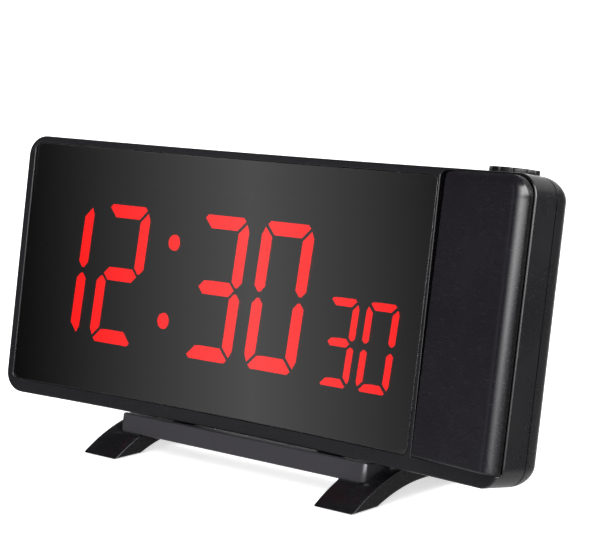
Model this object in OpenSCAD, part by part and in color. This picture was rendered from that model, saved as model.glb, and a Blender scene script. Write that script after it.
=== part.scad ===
// Projection alarm clock: leaning case with a concave mirror display, a projector block at one
// end and a two-footed stand.  Millimetres, +Z up, origin on the table under the middle.
// Inside lean() the case is upright: X runs along it, Y is the depth from its front ends to its
// back, and Z is the height above its lower edge.

/* [Case] */
// Width of the case
case_w = 200; // [190:1:220]
// Height of the case
case_h = 85; // [82:1:100]
// Depth of the case
case_d = 27; // [27:0.5:34]
// How far the case leans back, in degrees
lean_angle = 9.5; // [5:0.5:12]
// How deep the front is hollowed at its middle
face_sag = 9; // [7:0.25:9.5]
// Radius of the case's four corners
corner_r = 6.5; // [5:0.5:8]
// Radius of the edge round the back
back_r = 14; // [8:0.5:14]
// Thickness of the shells
wall = 2; // [1.6:0.1:2.4]
// Depth of the parting line between the shells
split_y = 12.7; // [12.5:0.1:13.5]
// Width of the groove along the parting line
split_gap = 0.4; // [0.2:0.1:0.8]

/* [Front] */
// Height of the lip below the display
lip_low = 4.2; // [3.5:0.1:6]
// Height of the lip above the display
lip_top = 2.1; // [1.5:0.1:4]
// Width of the lip at the left end
lip_side = 2.5; // [1.8:0.1:4]
// Thickness of the mirror panel
panel_t = 1.5; // [1:0.1:1.8]
// Thickness of the ledge behind the mirror panel
ledge_t = 1.1; // [0.8:0.1:1.3]
// Width of the ledge behind the mirror panel
ledge_w = 4; // [2:0.5:5]
// Width of the projector block, from the seam to the right end
projector_w = 33; // [31:0.5:36]
// Width of the seam at its foot
seam_low = 0.4; // [0.3:0.1:1]
// Width of the seam at its head
seam_high = 2.4; // [0.5:0.1:3]
// Width of the divider wall beside the seam
divider_w = 1.8; // [1.4:0.1:2.2]

/* [Digits] */
// Height of the big digits, between their outer strokes' middles
big_h = 41; // [36:0.5:42]
// Width of the big digits, between their upright strokes' middles
big_w = 16.6; // [14:0.1:17]
// Stroke of the big digits
big_stroke = 4.6; // [3:0.1:5]
// Height of the small digits
small_h = 23.8; // [18:0.2:25]
// Width of the small digits
small_w = 9.7; // [8:0.1:10.2]
// Stroke of the small digits
small_stroke = 2.7; // [1.6:0.1:2.9]
// Gap between two segments of a digit
segment_gap = 0.55; // [0.3:0.05:0.8]
// Distance from one digit of a pair to the next
big_pitch = 26.2; // [26:0.2:27]
// Distance from one small digit to the next
small_pitch = 14.8; // [14.4:0.2:15.4]
// Distance of the first digit's stroke from the light mask's left edge
hours_in = 6.6; // [5:0.1:8]
// Distance of the last small digit's middle from the light mask's right edge
small_in = 11.5; // [9:0.1:13]
// Height of the digits' middle line above the case's lower edge
digits_z = 42.6; // [41:0.2:44]
// How far the digits lean to the right, in degrees
digit_lean = 3; // [0:0.5:6]
// Diameter of a colon dot
dot_d = 5.4; // [3:0.2:6]
// Distance between the two colon dots
dot_pitch = 25; // [18:0.5:28]

/* [Inside] */
// Depth at which the light mask starts
mask_y = 12; // [11.8:0.1:12.4]
// Thickness of the light mask
mask_t = 4.5; // [4:0.1:4.8]
// Thickness of the circuit boards
board_t = 1.6; // [1:0.1:1.8]
// Diameter of the case screws
screw_d = 2.6; // [2:0.1:3]
// Diameter of a screw's head
screw_head_d = 4.8; // [4:0.1:5.2]
// Diameter of the screw bosses
boss_d = 6; // [5.4:0.1:6.4]

/* [Keys] */
// Diameter of the five round keys
key_d = 8; // [6:0.5:9]
// Distance between the round keys
key_pitch = 15; // [12:0.5:17]
// Height of the row of round keys
key_z = 60; // [56:1:63]
// Width of the snooze key
snooze_w = 34; // [24:1:44]
// Height of the snooze key
snooze_h = 9; // [7:0.5:11]
// How far the keys stand out of the back
key_proud = 1.2; // [0.8:0.1:2]
// How far a key goes in
key_travel = 0.6; // [0.3:0.1:0.7]
// Gap round a key
key_gap = 0.2; // [0.15:0.05:0.4]

/* [Battery] */
// Diameter of the coin cell
cell_d = 20; // [18:0.1:20.2]
// Thickness of the coin cell
cell_t = 3.2; // [2.4:0.1:3.2]
// Width of the battery door
door_w = 30; // [28:0.5:34]
// Height of the battery door
door_h = 26; // [25:0.5:30]
// Distance of the battery door's middle from the left end of the case
door_in = 34; // [32:0.5:40]
// Middle of the battery door, above the case's lower edge
door_z = 38; // [34:0.5:44]

/* [Sockets] */
// Bore of the power jack
jack_d = 5.5; // [4:0.1:6]
// Distance of the power jack from the seam
jack_in = 17; // [15:0.5:21]
// Height of the power jack and the dimmer switch
jack_z = 20; // [19:0.5:24]
// Distance of the dimmer switch from the power jack
dimmer_pitch = 22; // [18:0.5:26]
// How far the dimmer knob slides each way
dimmer_travel = 2; // [1:0.1:2.2]
// Diameter of the buzzer
buzzer_d = 12; // [9:0.5:13]

/* [Projector] */
// Distance of the projector's axis from the right end of the case
lens_in = 15.5; // [14.5:0.25:17]
// Depth of the projector's axis
lens_y = 13.6; // [13.2:0.1:14]
// Diameter of the focus ring
ring_d = 14; // [13:0.2:15]
// Height of the focus ring above the case
ring_h = 1.5; // [0.8:0.1:2.5]
// Diameter of the lens
lens_d = 8.4; // [7:0.1:8.6]
// Outer diameter of the projector tube
tube_d = 16; // [15.4:0.1:16.4]
// How much the projector cover stands in front of the case's right end
cover_proud = 1.9; // [0.5:0.1:2.5]
// Turn of the cover's face towards the display, in degrees
cover_turn = 13; // [10:0.5:14]
// Radius of the cover's rounded edges
cover_r = 4; // [2.5:0.25:4.5]
// How far the lens barrel moves each way when it is focused
focus_travel = 0.8; // [0.4:0.1:1]

/* [Stand] */
// Height of the case's lower front edge above the table
stand_h = 13.5; // [13.2:0.1:16]
// Length of the feet, front to back
foot_len = 66; // [64:1:76]
// How far the toes reach in front of the case
toe_reach = 5.8; // [4:0.2:8]
// Width of a foot
foot_w = 14.7; // [12:0.1:18]
// How far the feet reach in under the ends of the bar
foot_in = 9.5; // [6.5:0.1:12.5]
// Gap between the feet and the case above them
foot_gap = 1.2; // [0.8:0.1:1.8]
// Height of the arch under a foot
arch_h = 4.6; // [4.3:0.1:4.8]
// Length of the arch on the table
arch_len = 44.8; // [40:0.2:48]
// Length of the stand's bar
bar_len = 100.6; // [98:0.2:104]
// Depth of the bar
bar_d = 18; // [16:0.5:19]
// Height of the bar
bar_h = 6.1; // [5.6:0.1:6.4]
// Distance from the case's front to the bar
bar_y = 6.5; // [5:0.1:7]
// Gap between the case and the bar
bar_gap = 0.4; // [0.3:0.1:0.8]

/* [Hidden] */
$fn = 48;

fit = 0.1;              // gap between fixed pieces that fit into each other
run_fit = 0.05;         // radial gap of round pieces that turn or slide
cut = 1;                // how far a cutting shape passes the face that it cuts
face_fn = 720;
glue_gap = 0.05;        // gap behind the mirror panel
sleeve_gap = 0.3;       // radial gap round the lens barrel
end_x = case_w / 2;
seam_x = end_x - projector_w;
lens_x = end_x - lens_in;
door_x = -end_x + door_in;
jack_x = seam_x - jack_in;
dimmer_x = jack_x - dimmer_pitch;
case_y = toe_reach - foot_len / 2;
face_r = (end_x * end_x + face_sag * face_sag) / (2 * face_sag);
front_t = panel_t + ledge_t + fit + glue_gap;
back_in = case_d - wall;
edge_r = min(back_r, case_d - split_y - split_gap / 2 - fit);
display_l = -end_x + lip_side;
display_r = seam_x - seam_high / 2 - 0.6;
display_top = case_h - lip_top;

// display
board_y = mask_y + mask_t;
board_back = board_y + board_t;
board_l = -end_x + 5.5;
board_r = seam_x - 4;
board_low = 12;
board_top = case_h - 12;
mask_l = board_l + 7;
mask_r = board_r - 5.5;
cell_depth = 3.8;
chip_x = -14;
chip_z = 27.5;
chip_w = 10;
chip_h = 7;
chip_t = 1.6;
leg_pitch = 1.5;
leg_l = 1;
crystal_w = 7;
crystal_h = 4;
crystal_t = 3.5;
crystal_x = chip_x - chip_w / 2 - 4 - crystal_w;
capacitor_d = 6.3;
capacitor_h = 6.5;
capacitor_x = jack_x - 10;
capacitor_z = jack_z + 16;
jack_w = 9;
led_t = 0.6;
hours_x = mask_l + hours_in - big_w / 2;
hours_end = hours_x + big_pitch + (big_w + big_stroke) / 2;
small_x = [mask_r - small_in - small_pitch, mask_r - small_in];
minutes_w = big_pitch + big_w + big_stroke;
free_w = small_x[0] - (small_w + small_stroke) / 2 - hours_end - minutes_w;
minutes_share = 0.73;   // how much of the free width lies to the left of the minutes
colon_share = 0.54;     // where the colon stands in it
minutes_x = hours_end + minutes_share * free_w + (big_w + big_stroke) / 2;
colon_x = hours_end + colon_share * minutes_share * free_w;
big_x = [hours_x, hours_x + big_pitch, minutes_x, minutes_x + big_pitch];
small_z = digits_z - (big_h + big_stroke) / 2 + (small_h + small_stroke) / 2 - 1;
segments_of_0 = "abcdef";
segments_of_1 = "bc";
segments_of_2 = "abdeg";
segments_of_3 = "abcdg";
lit_digits = [segments_of_1, segments_of_2, segments_of_3, segments_of_0];
unlit_digits = ["", "cf", "ef", "g"];
lit_small = [segments_of_3, segments_of_0];
unlit_small = ["ef", "g"];

// screws and bosses
case_screw_at = [[-end_x + 11, 7.5], [-end_x + 11, case_h - 7.5], [end_x - 11, 7.5],
    [seam_x - 9, case_h - 7]];
board_screw_in = 2.5;   // from the board's ends
board_screw_z = [board_low + 8, board_top - 7];
board_screw_at = [for (x = [board_l + board_screw_in + 0.5, board_r - board_screw_in])
    for (z = board_screw_z) [x, z]];
board_screw_d = 2;
board_head_d = 3.8;
board_screw_len = 6.5;
board_head_t = 1.3;
head_t = 1.6;
head_y = case_d - 7;     // depth of the case screws' heads, sunk in the back
screw_len = 8;
board_boss_d = boss_d - 1;
bay_edge_y = 2.5;       // depth of the rim round the projector cover, at the right end
rim_t = 0.6;
rebate_d = 2.4;         // how far the projector cover goes in behind the rim's edge
tongue_l = 1.2;
bay_boss_y = 8.6;       // front of the two screw bosses in that bay
ledge_gap = 0.5;        // from the light mask to the ledge's edge
ring_hole_d = 13;
head_hole_d = screw_head_d + 0.6;
rear_boss_d = head_hole_d + 2;

// keys, counted from the left of the back as it is seen from the front
key_x = [-2 * key_pitch, -key_pitch, 0, key_pitch, 2 * key_pitch];
snooze_z = key_z - 17;
key_flange = 1.2;
key_flange_t = 1;
switch_w = 6;
switch_h = 4.3;
key_stem_d = 3.5;
switch_top = board_back + switch_h;
key_stem_y = switch_top + key_travel + 0.1;

// battery bay
bay_wall = 1.2;
cell_y = back_in - 1 - cell_t;
contact_t = 0.3;
bay_floor = cell_y - contact_t - 0.1;
bay_r = cell_d / 2 + 0.6;

// projector
tube_low = 41;
tube_top = case_h - wall - 4.5;
ring_seat_d = ring_d + 0.6;
ring_skirt_d = 12;
ring_bore = lens_d + 1.7;
skirt_low = case_h - 11;
barrel_d = ring_bore - 2 * sleeve_gap;
barrel_low = skirt_low - 9;
barrel_top = case_h + 0.2 - focus_travel;
key_rib = 1.2;
glass_z = 56;
glass_w = 9.4;
condenser_z = 50;
condenser_d = 10;
condenser_bore = 8.2;   // of the tube above the condenser lens
condenser_room = 4;     // height of its place in the tube
condenser_dome_r = 7;
condenser_dome_h = 1.6;
lens_dome_r = 9;
lens_dome_h = 1.1;
lens_sink = 4;          // from the barrel's top to the projection lens
lens_rim_t = 1.4;       // straight rim of both lenses
tube_ear_y = lens_y + 6.2;
tube_screw_z = [48, 66];
tube_screw_len = 4.6;
ear_half_w = 2.4;
ear_half_h = 4;
ear_t = 2;
ear_screw_x = lens_x - 9.6;
led_board_z = tube_low - board_t;
cover_gap = 0.15;
cover_low = lip_low + cover_gap;
cover_wall = 1.8;

// stand
pad_t = 1;
pad_proud = 0.3;
pad_len = 8;
arch_r = (arch_len * arch_len / 4 + arch_h * arch_h) / (2 * arch_h);
foot_h = stand_h - (case_d - edge_r) * sin(lean_angle) - foot_gap;
foot_top_r = (foot_len * foot_len / 4 + pow(foot_h - pad_proud, 2)) / (2 * (foot_h - pad_proud));
bar_top = -bar_gap;
bar_low = bar_top - bar_h;
bar_floor = stand_h + bar_low * cos(lean_angle) - bar_y * sin(lean_angle);
bar_back = bar_y + bar_d;
bar_corner = 1.5;
stand_screw_at = [[-30, split_y + 3.2], [30, split_y + 3.2]];
stand_screw_top = 6;
foot_screw_len = 5.5;
foot_x = bar_len / 2 - foot_in;
foot_screw_y = case_y + bar_y + 4;
foot_screw_x = foot_x + 4.6;
foot_seat = bar_floor - 2;
stand_seat = bar_top - 2.5;

case_black = [0.06, 0.06, 0.065];
board_green = [0.1, 0.3, 0.16];
steel = [0.75, 0.76, 0.78];

module lean() {
    translate([0, case_y, stand_h]) rotate([-lean_angle, 0, 0]) children();
}

// A flat shape in X and Z, made solid from depth y0 to depth y1
module depth(y0, y1) {
    translate([0, y1, 0]) rotate([90, 0, 0]) linear_extrude(y1 - y0) children();
}

// A flat shape in Y and Z, made solid from x0 to x1
module across(x0, x1) {
    translate([x0, 0, 0]) rotate([90, 0, 90]) linear_extrude(x1 - x0) children();
}

module box(x0, x1, y0, y1, z0, z1) {
    translate([x0, y0, z0]) cube([x1 - x0, y1 - y0, z1 - z0]);
}

// A round bar along the depth
module pin(x, z, y0, y1, d) {
    translate([x, y1, z]) rotate([90, 0, 0]) cylinder(d = d, h = y1 - y0);
}

// A round bar along the height
module post(x, y, z0, z1, d) {
    translate([x, y, z0]) cylinder(d = d, h = z1 - z0);
}

module round_rect(x0, x1, z0, z1, r) {
    union() {
        translate([x0 + r, z0]) square([x1 - x0 - 2 * r, z1 - z0]);
        translate([x0, z0 + r]) square([x1 - x0, z1 - z0 - 2 * r]);
        for (x = [x0 + r, x1 - r])
            for (z = [z0 + r, z1 - r])
                translate([x, z]) circle(r = r);
    }
}

module outline(inset) {
    round_rect(-end_x + inset, end_x - inset, inset, case_h - inset, max(corner_r - inset, 0.5));
}

// Everything behind the hollow front, moved back by offset
module behind_face(offset) {
    difference() {
        box(-case_w, case_w, -20, case_d + 20, -20, case_h + 20);
        translate([0, face_sag - face_r + offset, -30])
            cylinder(r = face_r, h = case_h + 60, $fn = face_fn);
    }
}

// Everything to the left of the seam's left side
module left_of_seam() {
    polygon([[-case_w, -cut], [seam_x - seam_low / 2, -cut], [seam_x - seam_low / 2, lip_low],
        [seam_x - seam_high / 2, case_h], [seam_x - seam_high / 2, case_h + 9],
        [-case_w, case_h + 9]]);
}

// Front view of the opening for the projector cover, inside a rim; its upper left corner is round
module bay_opening(rim) {
    r = seam_high + 0.2;
    x = seam_x - seam_high / 2;
    z = case_h - rim;
    difference() {
        intersection() {
            round_rect(0, end_x - rim, -case_h, z, corner_r - rim);
            translate([0, lip_low]) square([case_w, case_h]);
        }
        left_of_seam();
        difference() {
            translate([x - 1, z - r]) square([r + 1, r + 1]);
            translate([x + r, z - r]) circle(r = r);
        }
    }
}

// Everything in front of the rim's edge round the projector's bay, moved back by offset
module before_rim(offset) {
    slope = (face_at(seam_x) - bay_edge_y) / (end_x - seam_x);
    function edge(x) = bay_edge_y + offset + slope * (end_x - x);
    translate([0, 0, -case_h]) linear_extrude(3 * case_h)
        polygon([[0, edge(0)], [0, -50], [case_w, -50], [case_w, edge(case_w)]]);
}

// The wall along the seam's left side
module divider_shape() {
    difference() {
        left_of_seam();
        translate([-divider_w, 0]) left_of_seam();
    }
}

module panel_shape(inset) {
    round_rect(display_l + inset, display_r - inset, lip_low + inset, display_top - inset,
        2 - inset);
}

// ---- digits ----

// Outline of the top stroke: mitred at both ends, with its outer corners cut
function top_points(w, h, s, g) =
    let (c = s * 0.28, a = w / 2 + s / 2 - 2 * c - g, b = a + 2 * c - s)
    [[-a, h / 2 + s / 2], [a, h / 2 + s / 2], [a + c, h / 2 + s / 2 - c], [b, h / 2 - s / 2],
        [-b, h / 2 - s / 2], [-a - c, h / 2 + s / 2 - c]];

// Outline of the upper right stroke: mitred above, pointed below
function side_points(w, h, s, g) =
    let (c = s * 0.28, i = w / 2 - s / 2, o = w / 2 + s / 2)
    [[i, h / 2 - s / 2 - g], [o - c, h / 2 + s / 2 - c - g], [o, h / 2 + s / 2 - 3 * c - g],
        [o, s / 2 + g * 0.7], [w / 2 + s * 0.1, g * 1.4], [w / 2 - s * 0.1, g * 1.4],
        [i, s / 2 + g * 0.7]];

function middle_points(w, s, g) =
    let (t = w / 2 - g)
    [[-t, 0], [-t + s / 2, s / 2], [t - s / 2, s / 2], [t, 0], [t - s / 2, -s / 2],
        [-t + s / 2, -s / 2]];

function flip(points, x, z) = [for (p = points) [x * p[0], z * p[1]]];

function segment_points(letter, w, h, s, g) =
    letter == "a" ? top_points(w, h, s, g) :
    letter == "b" ? side_points(w, h, s, g) :
    letter == "c" ? flip(side_points(w, h, s, g), 1, -1) :
    letter == "d" ? flip(top_points(w, h, s, g), 1, -1) :
    letter == "e" ? flip(side_points(w, h, s, g), -1, -1) :
    letter == "f" ? flip(side_points(w, h, s, g), -1, 1) :
    middle_points(w, s, g);

function leaned(points, x, z) = [for (p = points) [x + p[0] + tan(digit_lean) * p[1], z + p[1]]];

module digit(letters, x, z, w, h, s, grow) {
    if (len(letters) > 0)
        for (letter = letters)
            polygon(leaned(segment_points(letter, w, h, s + 2 * grow, segment_gap - 1.4 * grow), x, z));
}

module colon(grow) {
    for (side = [-1, 1])
        translate([colon_x + tan(digit_lean) * side * dot_pitch / 2,
                digits_z + side * dot_pitch / 2])
            circle(d = dot_d + 2 * grow);
}

module lit_shapes(grow) {
    for (i = [0:3]) digit(lit_digits[i], big_x[i], digits_z, big_w, big_h, big_stroke, grow);
    for (i = [0:1]) digit(lit_small[i], small_x[i], small_z, small_w, small_h, small_stroke, grow);
    colon(grow);
}

module unlit_shapes(grow) {
    for (i = [0:3]) digit(unlit_digits[i], big_x[i], digits_z, big_w, big_h, big_stroke, grow);
    for (i = [0:1]) digit(unlit_small[i], small_x[i], small_z, small_w, small_h, small_stroke, grow);
}

module led_row(letters, x, z, w, h) {
    if (len(letters) > 0)
        for (letter = letters) {
            middle = leaned([mean(segment_points(letter, w, h, 2, 0.5))], x, z)[0];
            box(middle[0] - 0.8, middle[0] + 0.8, board_y - led_t, board_y, middle[1] - 0.8,
                middle[1] + 0.8);
        }
}

// Depth of the hollow front at x
function face_at(x) = face_sag - face_r + sqrt(face_r * face_r - x * x);

function mean(points) = [for (axis = [0, 1]) total([for (p = points) p[axis]]) / len(points)];
function total(values) = [for (v = values) 1] * values;

// ---- case ----

// A screw boss of the front shell, with a web to the nearest long wall
module front_boss(at, y0, y1, d) {
    pin(at[0], at[1], y0, y1, d);
    web_z = at[1] < case_h / 2 ? [wall - 1, at[1]] : [at[1], case_h - wall + 1];
    box(at[0] - 0.8, at[0] + 0.8, y0, split_y - tongue_l - 2 * fit, web_z[0], web_z[1]);
}

module front_bosses() {
    for (at = case_screw_at)
        front_boss(at, at[0] < seam_x ? 0 : bay_boss_y, split_y - split_gap / 2, boss_d);
    for (at = board_screw_at) pin(at[0], at[1], 0, board_y, board_boss_d);
}

module front_shell() {
    color(case_black) lean() difference() {
        intersection() {
            behind_face(0);
            union() {
                difference() {
                    depth(-1, split_y - split_gap / 2) outline(0);
                    intersection() {
                        depth(-3, split_y + cut) outline(wall);
                        union() {
                            // hollow behind the front wall, up to the divider wall
                            difference() {
                                behind_face(front_t);
                                depth(-5, case_d) divider_shape();
                            }
                            // bay of the projector, open to the front above the lower lip
                            depth(-4, split_y + 2) difference() {
                                translate([0, lip_low]) square([case_w, case_h]);
                                left_of_seam();
                            }
                        }
                    }
                    // the rim round the projector cover, and the rebate that holds the cover
                    intersection() {
                        before_rim(0);
                        depth(-20, split_y) difference() {
                            translate([0, lip_low]) square([case_w, case_h]);
                            left_of_seam();
                        }
                    }
                    intersection() {
                        before_rim(rebate_d + fit);
                        depth(-20, split_y) bay_opening(rim_t);
                    }
                }
                intersection() {
                    behind_face(front_t - ledge_t);
                    front_bosses();
                }
            }
        }
        // seat of the mirror panel
        difference() {
            depth(-4, split_y) panel_shape(0);
            behind_face(panel_t + fit + glue_gap);
        }
        // window behind the mirror panel
        difference() {
            depth(-5, split_y + cut)
                round_rect(mask_l - ledge_gap, mask_r + ledge_gap, lip_low + ledge_w,
                    display_top - ledge_w, 2);
            behind_face(front_t + cut);
        }
        for (at = case_screw_at)
            pin(at[0], at[1], at[0] < seam_x ? face_at(at[0]) + front_t + 0.5 : bay_boss_y + cut,
                split_y + cut, screw_d);
        for (at = board_screw_at)
            pin(at[0], at[1], face_at(at[0]) + front_t + 0.5, board_y + cut, board_screw_d);
        post(lens_x, lens_y, tube_top, case_h + cut, ring_hole_d);
    }
}

module mirror_panel() {
    color([0.12, 0.12, 0.13]) lean() intersection() {
        difference() {
            behind_face(0.1);
            behind_face(0.1 + panel_t);
        }
        depth(-1, split_y) panel_shape(fit);
    }
}

// Section of the case from depth y0 on, half wide to each side, rounded at both ends of the back
module back_section(half, inset, y0) {
    r = edge_r - inset;
    y1 = case_d - inset;
    intersection() {
        translate([-half, y0]) square([2 * half, y1 - y0]);
        union() {
            translate([-half, y0]) square([2 * half, y1 - r - y0]);
            translate([-half + r, y0]) square([2 * (half - r), y1 - y0]);
            for (side = [-1, 1]) translate([side * (half - r), y1 - r]) circle(r = r);
        }
    }
}

// Back of the case as a plain block with rounded edges, x0 to x1 and z0 to z1
module back_block(inset, y0, x0, x1, z0, z1) {
    intersection() {
        translate([0, 0, z0]) linear_extrude(z1 - z0) back_section(end_x - inset, inset, y0);
        across(x0, x1) translate([0, case_h / 2]) rotate(90) mirror([0, 1])
            back_section(case_h / 2 - inset, inset, y0);
    }
}

// Quarter of a rounded corner, turned about its own centre line
module back_corner(inset, y0) {
    r = edge_r - inset;
    rotate_extrude(angle = 90) intersection() {
        translate([0, y0]) square([corner_r - inset, case_d]);
        union() {
            translate([0, y0]) square([corner_r - inset, case_d - edge_r - y0]);
            translate([corner_r - edge_r, case_d - edge_r]) circle(r = r);
        }
    }
}

// The case from depth y0 on, pulled in by inset: rounded at its ends, its long edges and corners
module back_form(inset, y0) {
    x = end_x - corner_r;
    z = case_h / 2 - corner_r;
    union() {
        back_block(inset, y0, -x, x, -cut, case_h + cut);
        back_block(inset, y0, -end_x, end_x, case_h / 2 - z, case_h / 2 + z);
        for (side = [0, 1], up = [0, 1])
            translate([0, 0, case_h / 2]) mirror([side, 0, 0]) mirror([0, 0, up])
                translate([x, 0, -z]) rotate([-90, 0, 0]) back_corner(inset, y0);
    }
}

module bay_block() {
    box(door_x - door_w / 2 - bay_wall, door_x + door_w / 2 + bay_wall, bay_floor - bay_wall,
        back_in + 0.5, door_z - door_h / 2 - bay_wall, door_z + door_h / 2 + bay_wall);
}

module rear_cover() {
    color(case_black) lean() difference() {
        union() {
            difference() {
                back_form(0, split_y + split_gap / 2);
                back_form(wall, split_y - cut);
            }
            intersection() {
                back_form(0, split_y + split_gap / 2);
                union() {
                    for (at = case_screw_at)
                        pin(at[0], at[1], split_y + split_gap / 2, case_d, rear_boss_d);
                    for (at = stand_screw_at) post(at[0], at[1], wall - 0.5, 8, boss_d);
                    for (z = tube_screw_z)
                        pin(ear_screw_x, z, tube_ear_y + ear_t, case_d, board_boss_d);
                    bay_block();
                }
            }
            // flat seat of the focus ring
            difference() {
                post(lens_x, lens_y, case_h - 4, case_h, ring_seat_d);
                box(0, case_w, -cut, split_y + split_gap / 2, 0, case_h + cut);
            }
            // tongue that goes into the front shell
            difference() {
                depth(split_y - tongue_l, split_y + 1.5) outline(wall + fit);
                depth(split_y - cut - tongue_l, split_y + 1.5 + cut) outline(wall + fit + 1);
                box(-end_x, seam_x + 4, split_y - 2, split_y + split_gap / 2, -cut, case_h + cut);
                box(lens_x - 9, lens_x + 9, split_y - 2, split_y + 2, case_h - 6, case_h);
            }
        }
        // case screws: shank and sunk head
        for (at = case_screw_at) {
            pin(at[0], at[1], split_y - cut, case_d + cut, screw_d + 0.4);
            pin(at[0], at[1], head_y, case_d + cut, head_hole_d);
        }
        for (at = stand_screw_at) post(at[0], at[1], -cut, 9, screw_d);
        for (z = tube_screw_z) pin(ear_screw_x, z, tube_ear_y + 1, tube_ear_y + 5, board_screw_d);
        // keys
        for (x = key_x) pin(x, key_z, back_in - cut, case_d + cut, key_d + 2 * key_gap);
        depth(back_in - cut, case_d + cut)
            round_rect(-snooze_w / 2 - key_gap, snooze_w / 2 + key_gap,
                snooze_z - snooze_h / 2 - key_gap, snooze_z + snooze_h / 2 + key_gap,
                snooze_h / 2 - 0.5);
        // battery bay and the seat of its door
        pin(door_x, door_z, bay_floor, case_d + cut, 2 * bay_r);
        depth(back_in - 0.4, case_d + cut)
            round_rect(door_x - door_w / 2, door_x + door_w / 2, door_z - door_h / 2,
                door_z + door_h / 2, 2);
        // power jack, dimmer knob, buzzer grille
        pin(jack_x, jack_z, back_in - cut, case_d + cut, jack_d + 2.5);
        box(dimmer_x - 1.5 - dimmer_travel - 0.3, dimmer_x + 1.5 + dimmer_travel + 0.3,
            back_in - cut, case_d + cut, jack_z - 1.8, jack_z + 1.8);
        pin(0, jack_z, back_in - cut, case_d + cut, 1.6);
        for (turn = [0:60:300])
            pin(3 * cos(turn), jack_z + 3 * sin(turn), back_in - cut, case_d + cut, 1.6);
        post(lens_x, lens_y, tube_top, case_h + cut, ring_hole_d);
    }
}

module case_screws() {
    color(steel) lean() for (at = case_screw_at) {
        pin(at[0], at[1], head_y - head_t - screw_len, head_y, screw_d - 0.1);
        difference() {
            pin(at[0], at[1], head_y, head_y + head_t, screw_head_d);
            box(at[0] - 0.4, at[0] + 0.4, head_y + head_t * 0.6, head_y + head_t + cut,
                at[1] - 1.6, at[1] + 1.6);
            box(at[0] - 1.6, at[0] + 1.6, head_y + head_t * 0.6, head_y + head_t + cut,
                at[1] - 0.4, at[1] + 0.4);
        }
    }
}

// ---- display parts ----

module light_mask() {
    color([0.05, 0.05, 0.05]) lean() difference() {
        box(mask_l, mask_r, mask_y, board_y, board_low + 1, board_top - 1);
        depth(mask_y - cut, board_y + cut) {
            lit_shapes(0.05);
            unlit_shapes(0.05);
        }
    }
}

module lit_segments() {
    color([1, 0.05, 0.02]) lean() depth(mask_y, mask_y + cell_depth) lit_shapes(0);
}

module unlit_segments() {
    color([0.16, 0.02, 0.02]) lean() depth(mask_y, mask_y + cell_depth) unlit_shapes(0);
}

module segment_leds() {
    color([0.95, 0.9, 0.75]) lean() {
        for (i = [0:3]) {
            led_row(lit_digits[i], big_x[i], digits_z, big_w, big_h);
            led_row(unlit_digits[i], big_x[i], digits_z, big_w, big_h);
        }
        for (i = [0:1]) {
            led_row(lit_small[i], small_x[i], small_z, small_w, small_h);
            led_row(unlit_small[i], small_x[i], small_z, small_w, small_h);
        }
        for (side = [-1, 1])
            led_row("g", colon_x + tan(digit_lean) * side * dot_pitch / 2,
                digits_z + side * dot_pitch / 2, 4, 4);
    }
}

module main_board() {
    color(board_green) lean() difference() {
        box(board_l, board_r, board_y, board_back, board_low, board_top);
        for (at = board_screw_at) pin(at[0], at[1], board_y - cut, board_back + cut,
            board_screw_d + 0.2);
    }
}

module board_screws() {
    color(steel) lean() for (at = board_screw_at) {
        pin(at[0], at[1], board_back - board_screw_len, board_back, board_screw_d - 0.1);
        pin(at[0], at[1], board_back, board_back + board_head_t, board_head_d);
    }
}

module control_chip() {
    color([0.07, 0.07, 0.07]) lean() {
        box(chip_x - chip_w / 2, chip_x + chip_w / 2, board_back, board_back + chip_t,
            chip_z - chip_h / 2, chip_z + chip_h / 2);
        for (x = [chip_x - chip_w / 2 + 1:leg_pitch:chip_x + chip_w / 2 - 1])
            for (z = [chip_z - chip_h / 2 - leg_l, chip_z + chip_h / 2])
                box(x, x + leg_pitch * 0.4, board_back, board_back + 0.5, z, z + leg_l);
    }
}

module clock_crystal() {
    color(steel) lean() box(crystal_x, crystal_x + crystal_w, board_back, board_back + crystal_t,
        chip_z - crystal_h / 2, chip_z + crystal_h / 2);
}

module capacitor() {
    color([0.1, 0.12, 0.25]) lean()
        pin(capacitor_x, capacitor_z, board_back, board_back + capacitor_h, capacitor_d);
}

module tact_switch(x, z) {
    box(x - switch_w / 2, x + switch_w / 2, board_back, switch_top - 1, z - switch_w / 2,
        z + switch_w / 2);
    pin(x, z, switch_top - 1, switch_top, key_stem_d);
}

module tact_switches() {
    color([0.2, 0.2, 0.2]) lean() {
        for (x = key_x) tact_switch(x, key_z);
        tact_switch(0, snooze_z);
    }
}

module round_key(x, tint) {
    color(tint) lean() {
        pin(x, key_z, back_in - 0.3, case_d + key_proud, key_d);
        pin(x, key_z, back_in - 0.3 - key_flange_t, back_in - 0.3, key_d + 2 * key_flange);
        pin(x, key_z, key_stem_y, back_in - 0.3 - key_flange_t, key_stem_d);
    }
}

module snooze_key() {
    color([0.1, 0.1, 0.11]) lean() {
        depth(back_in - 0.3, case_d + key_proud)
            round_rect(-snooze_w / 2, snooze_w / 2, snooze_z - snooze_h / 2, snooze_z + snooze_h / 2,
                snooze_h / 2 - 0.5);
        depth(back_in - 0.3 - key_flange_t, back_in - 0.3)
            round_rect(-snooze_w / 2 - key_flange, snooze_w / 2 + key_flange,
                snooze_z - snooze_h / 2 - key_flange, snooze_z + snooze_h / 2 + key_flange,
                snooze_h / 2 - 0.5);
        pin(0, snooze_z, key_stem_y, back_in - 0.3 - key_flange_t, key_stem_d);
    }
}

module set_key() { round_key(key_x[0], [0.1, 0.1, 0.11]); }
module alarm_key() { round_key(key_x[1], [0.1, 0.1, 0.11]); }
module up_key() { round_key(key_x[2], [0.1, 0.1, 0.11]); }
module down_key() { round_key(key_x[3], [0.1, 0.1, 0.11]); }
module projector_key() { round_key(key_x[4], [0.1, 0.1, 0.11]); }

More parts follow.
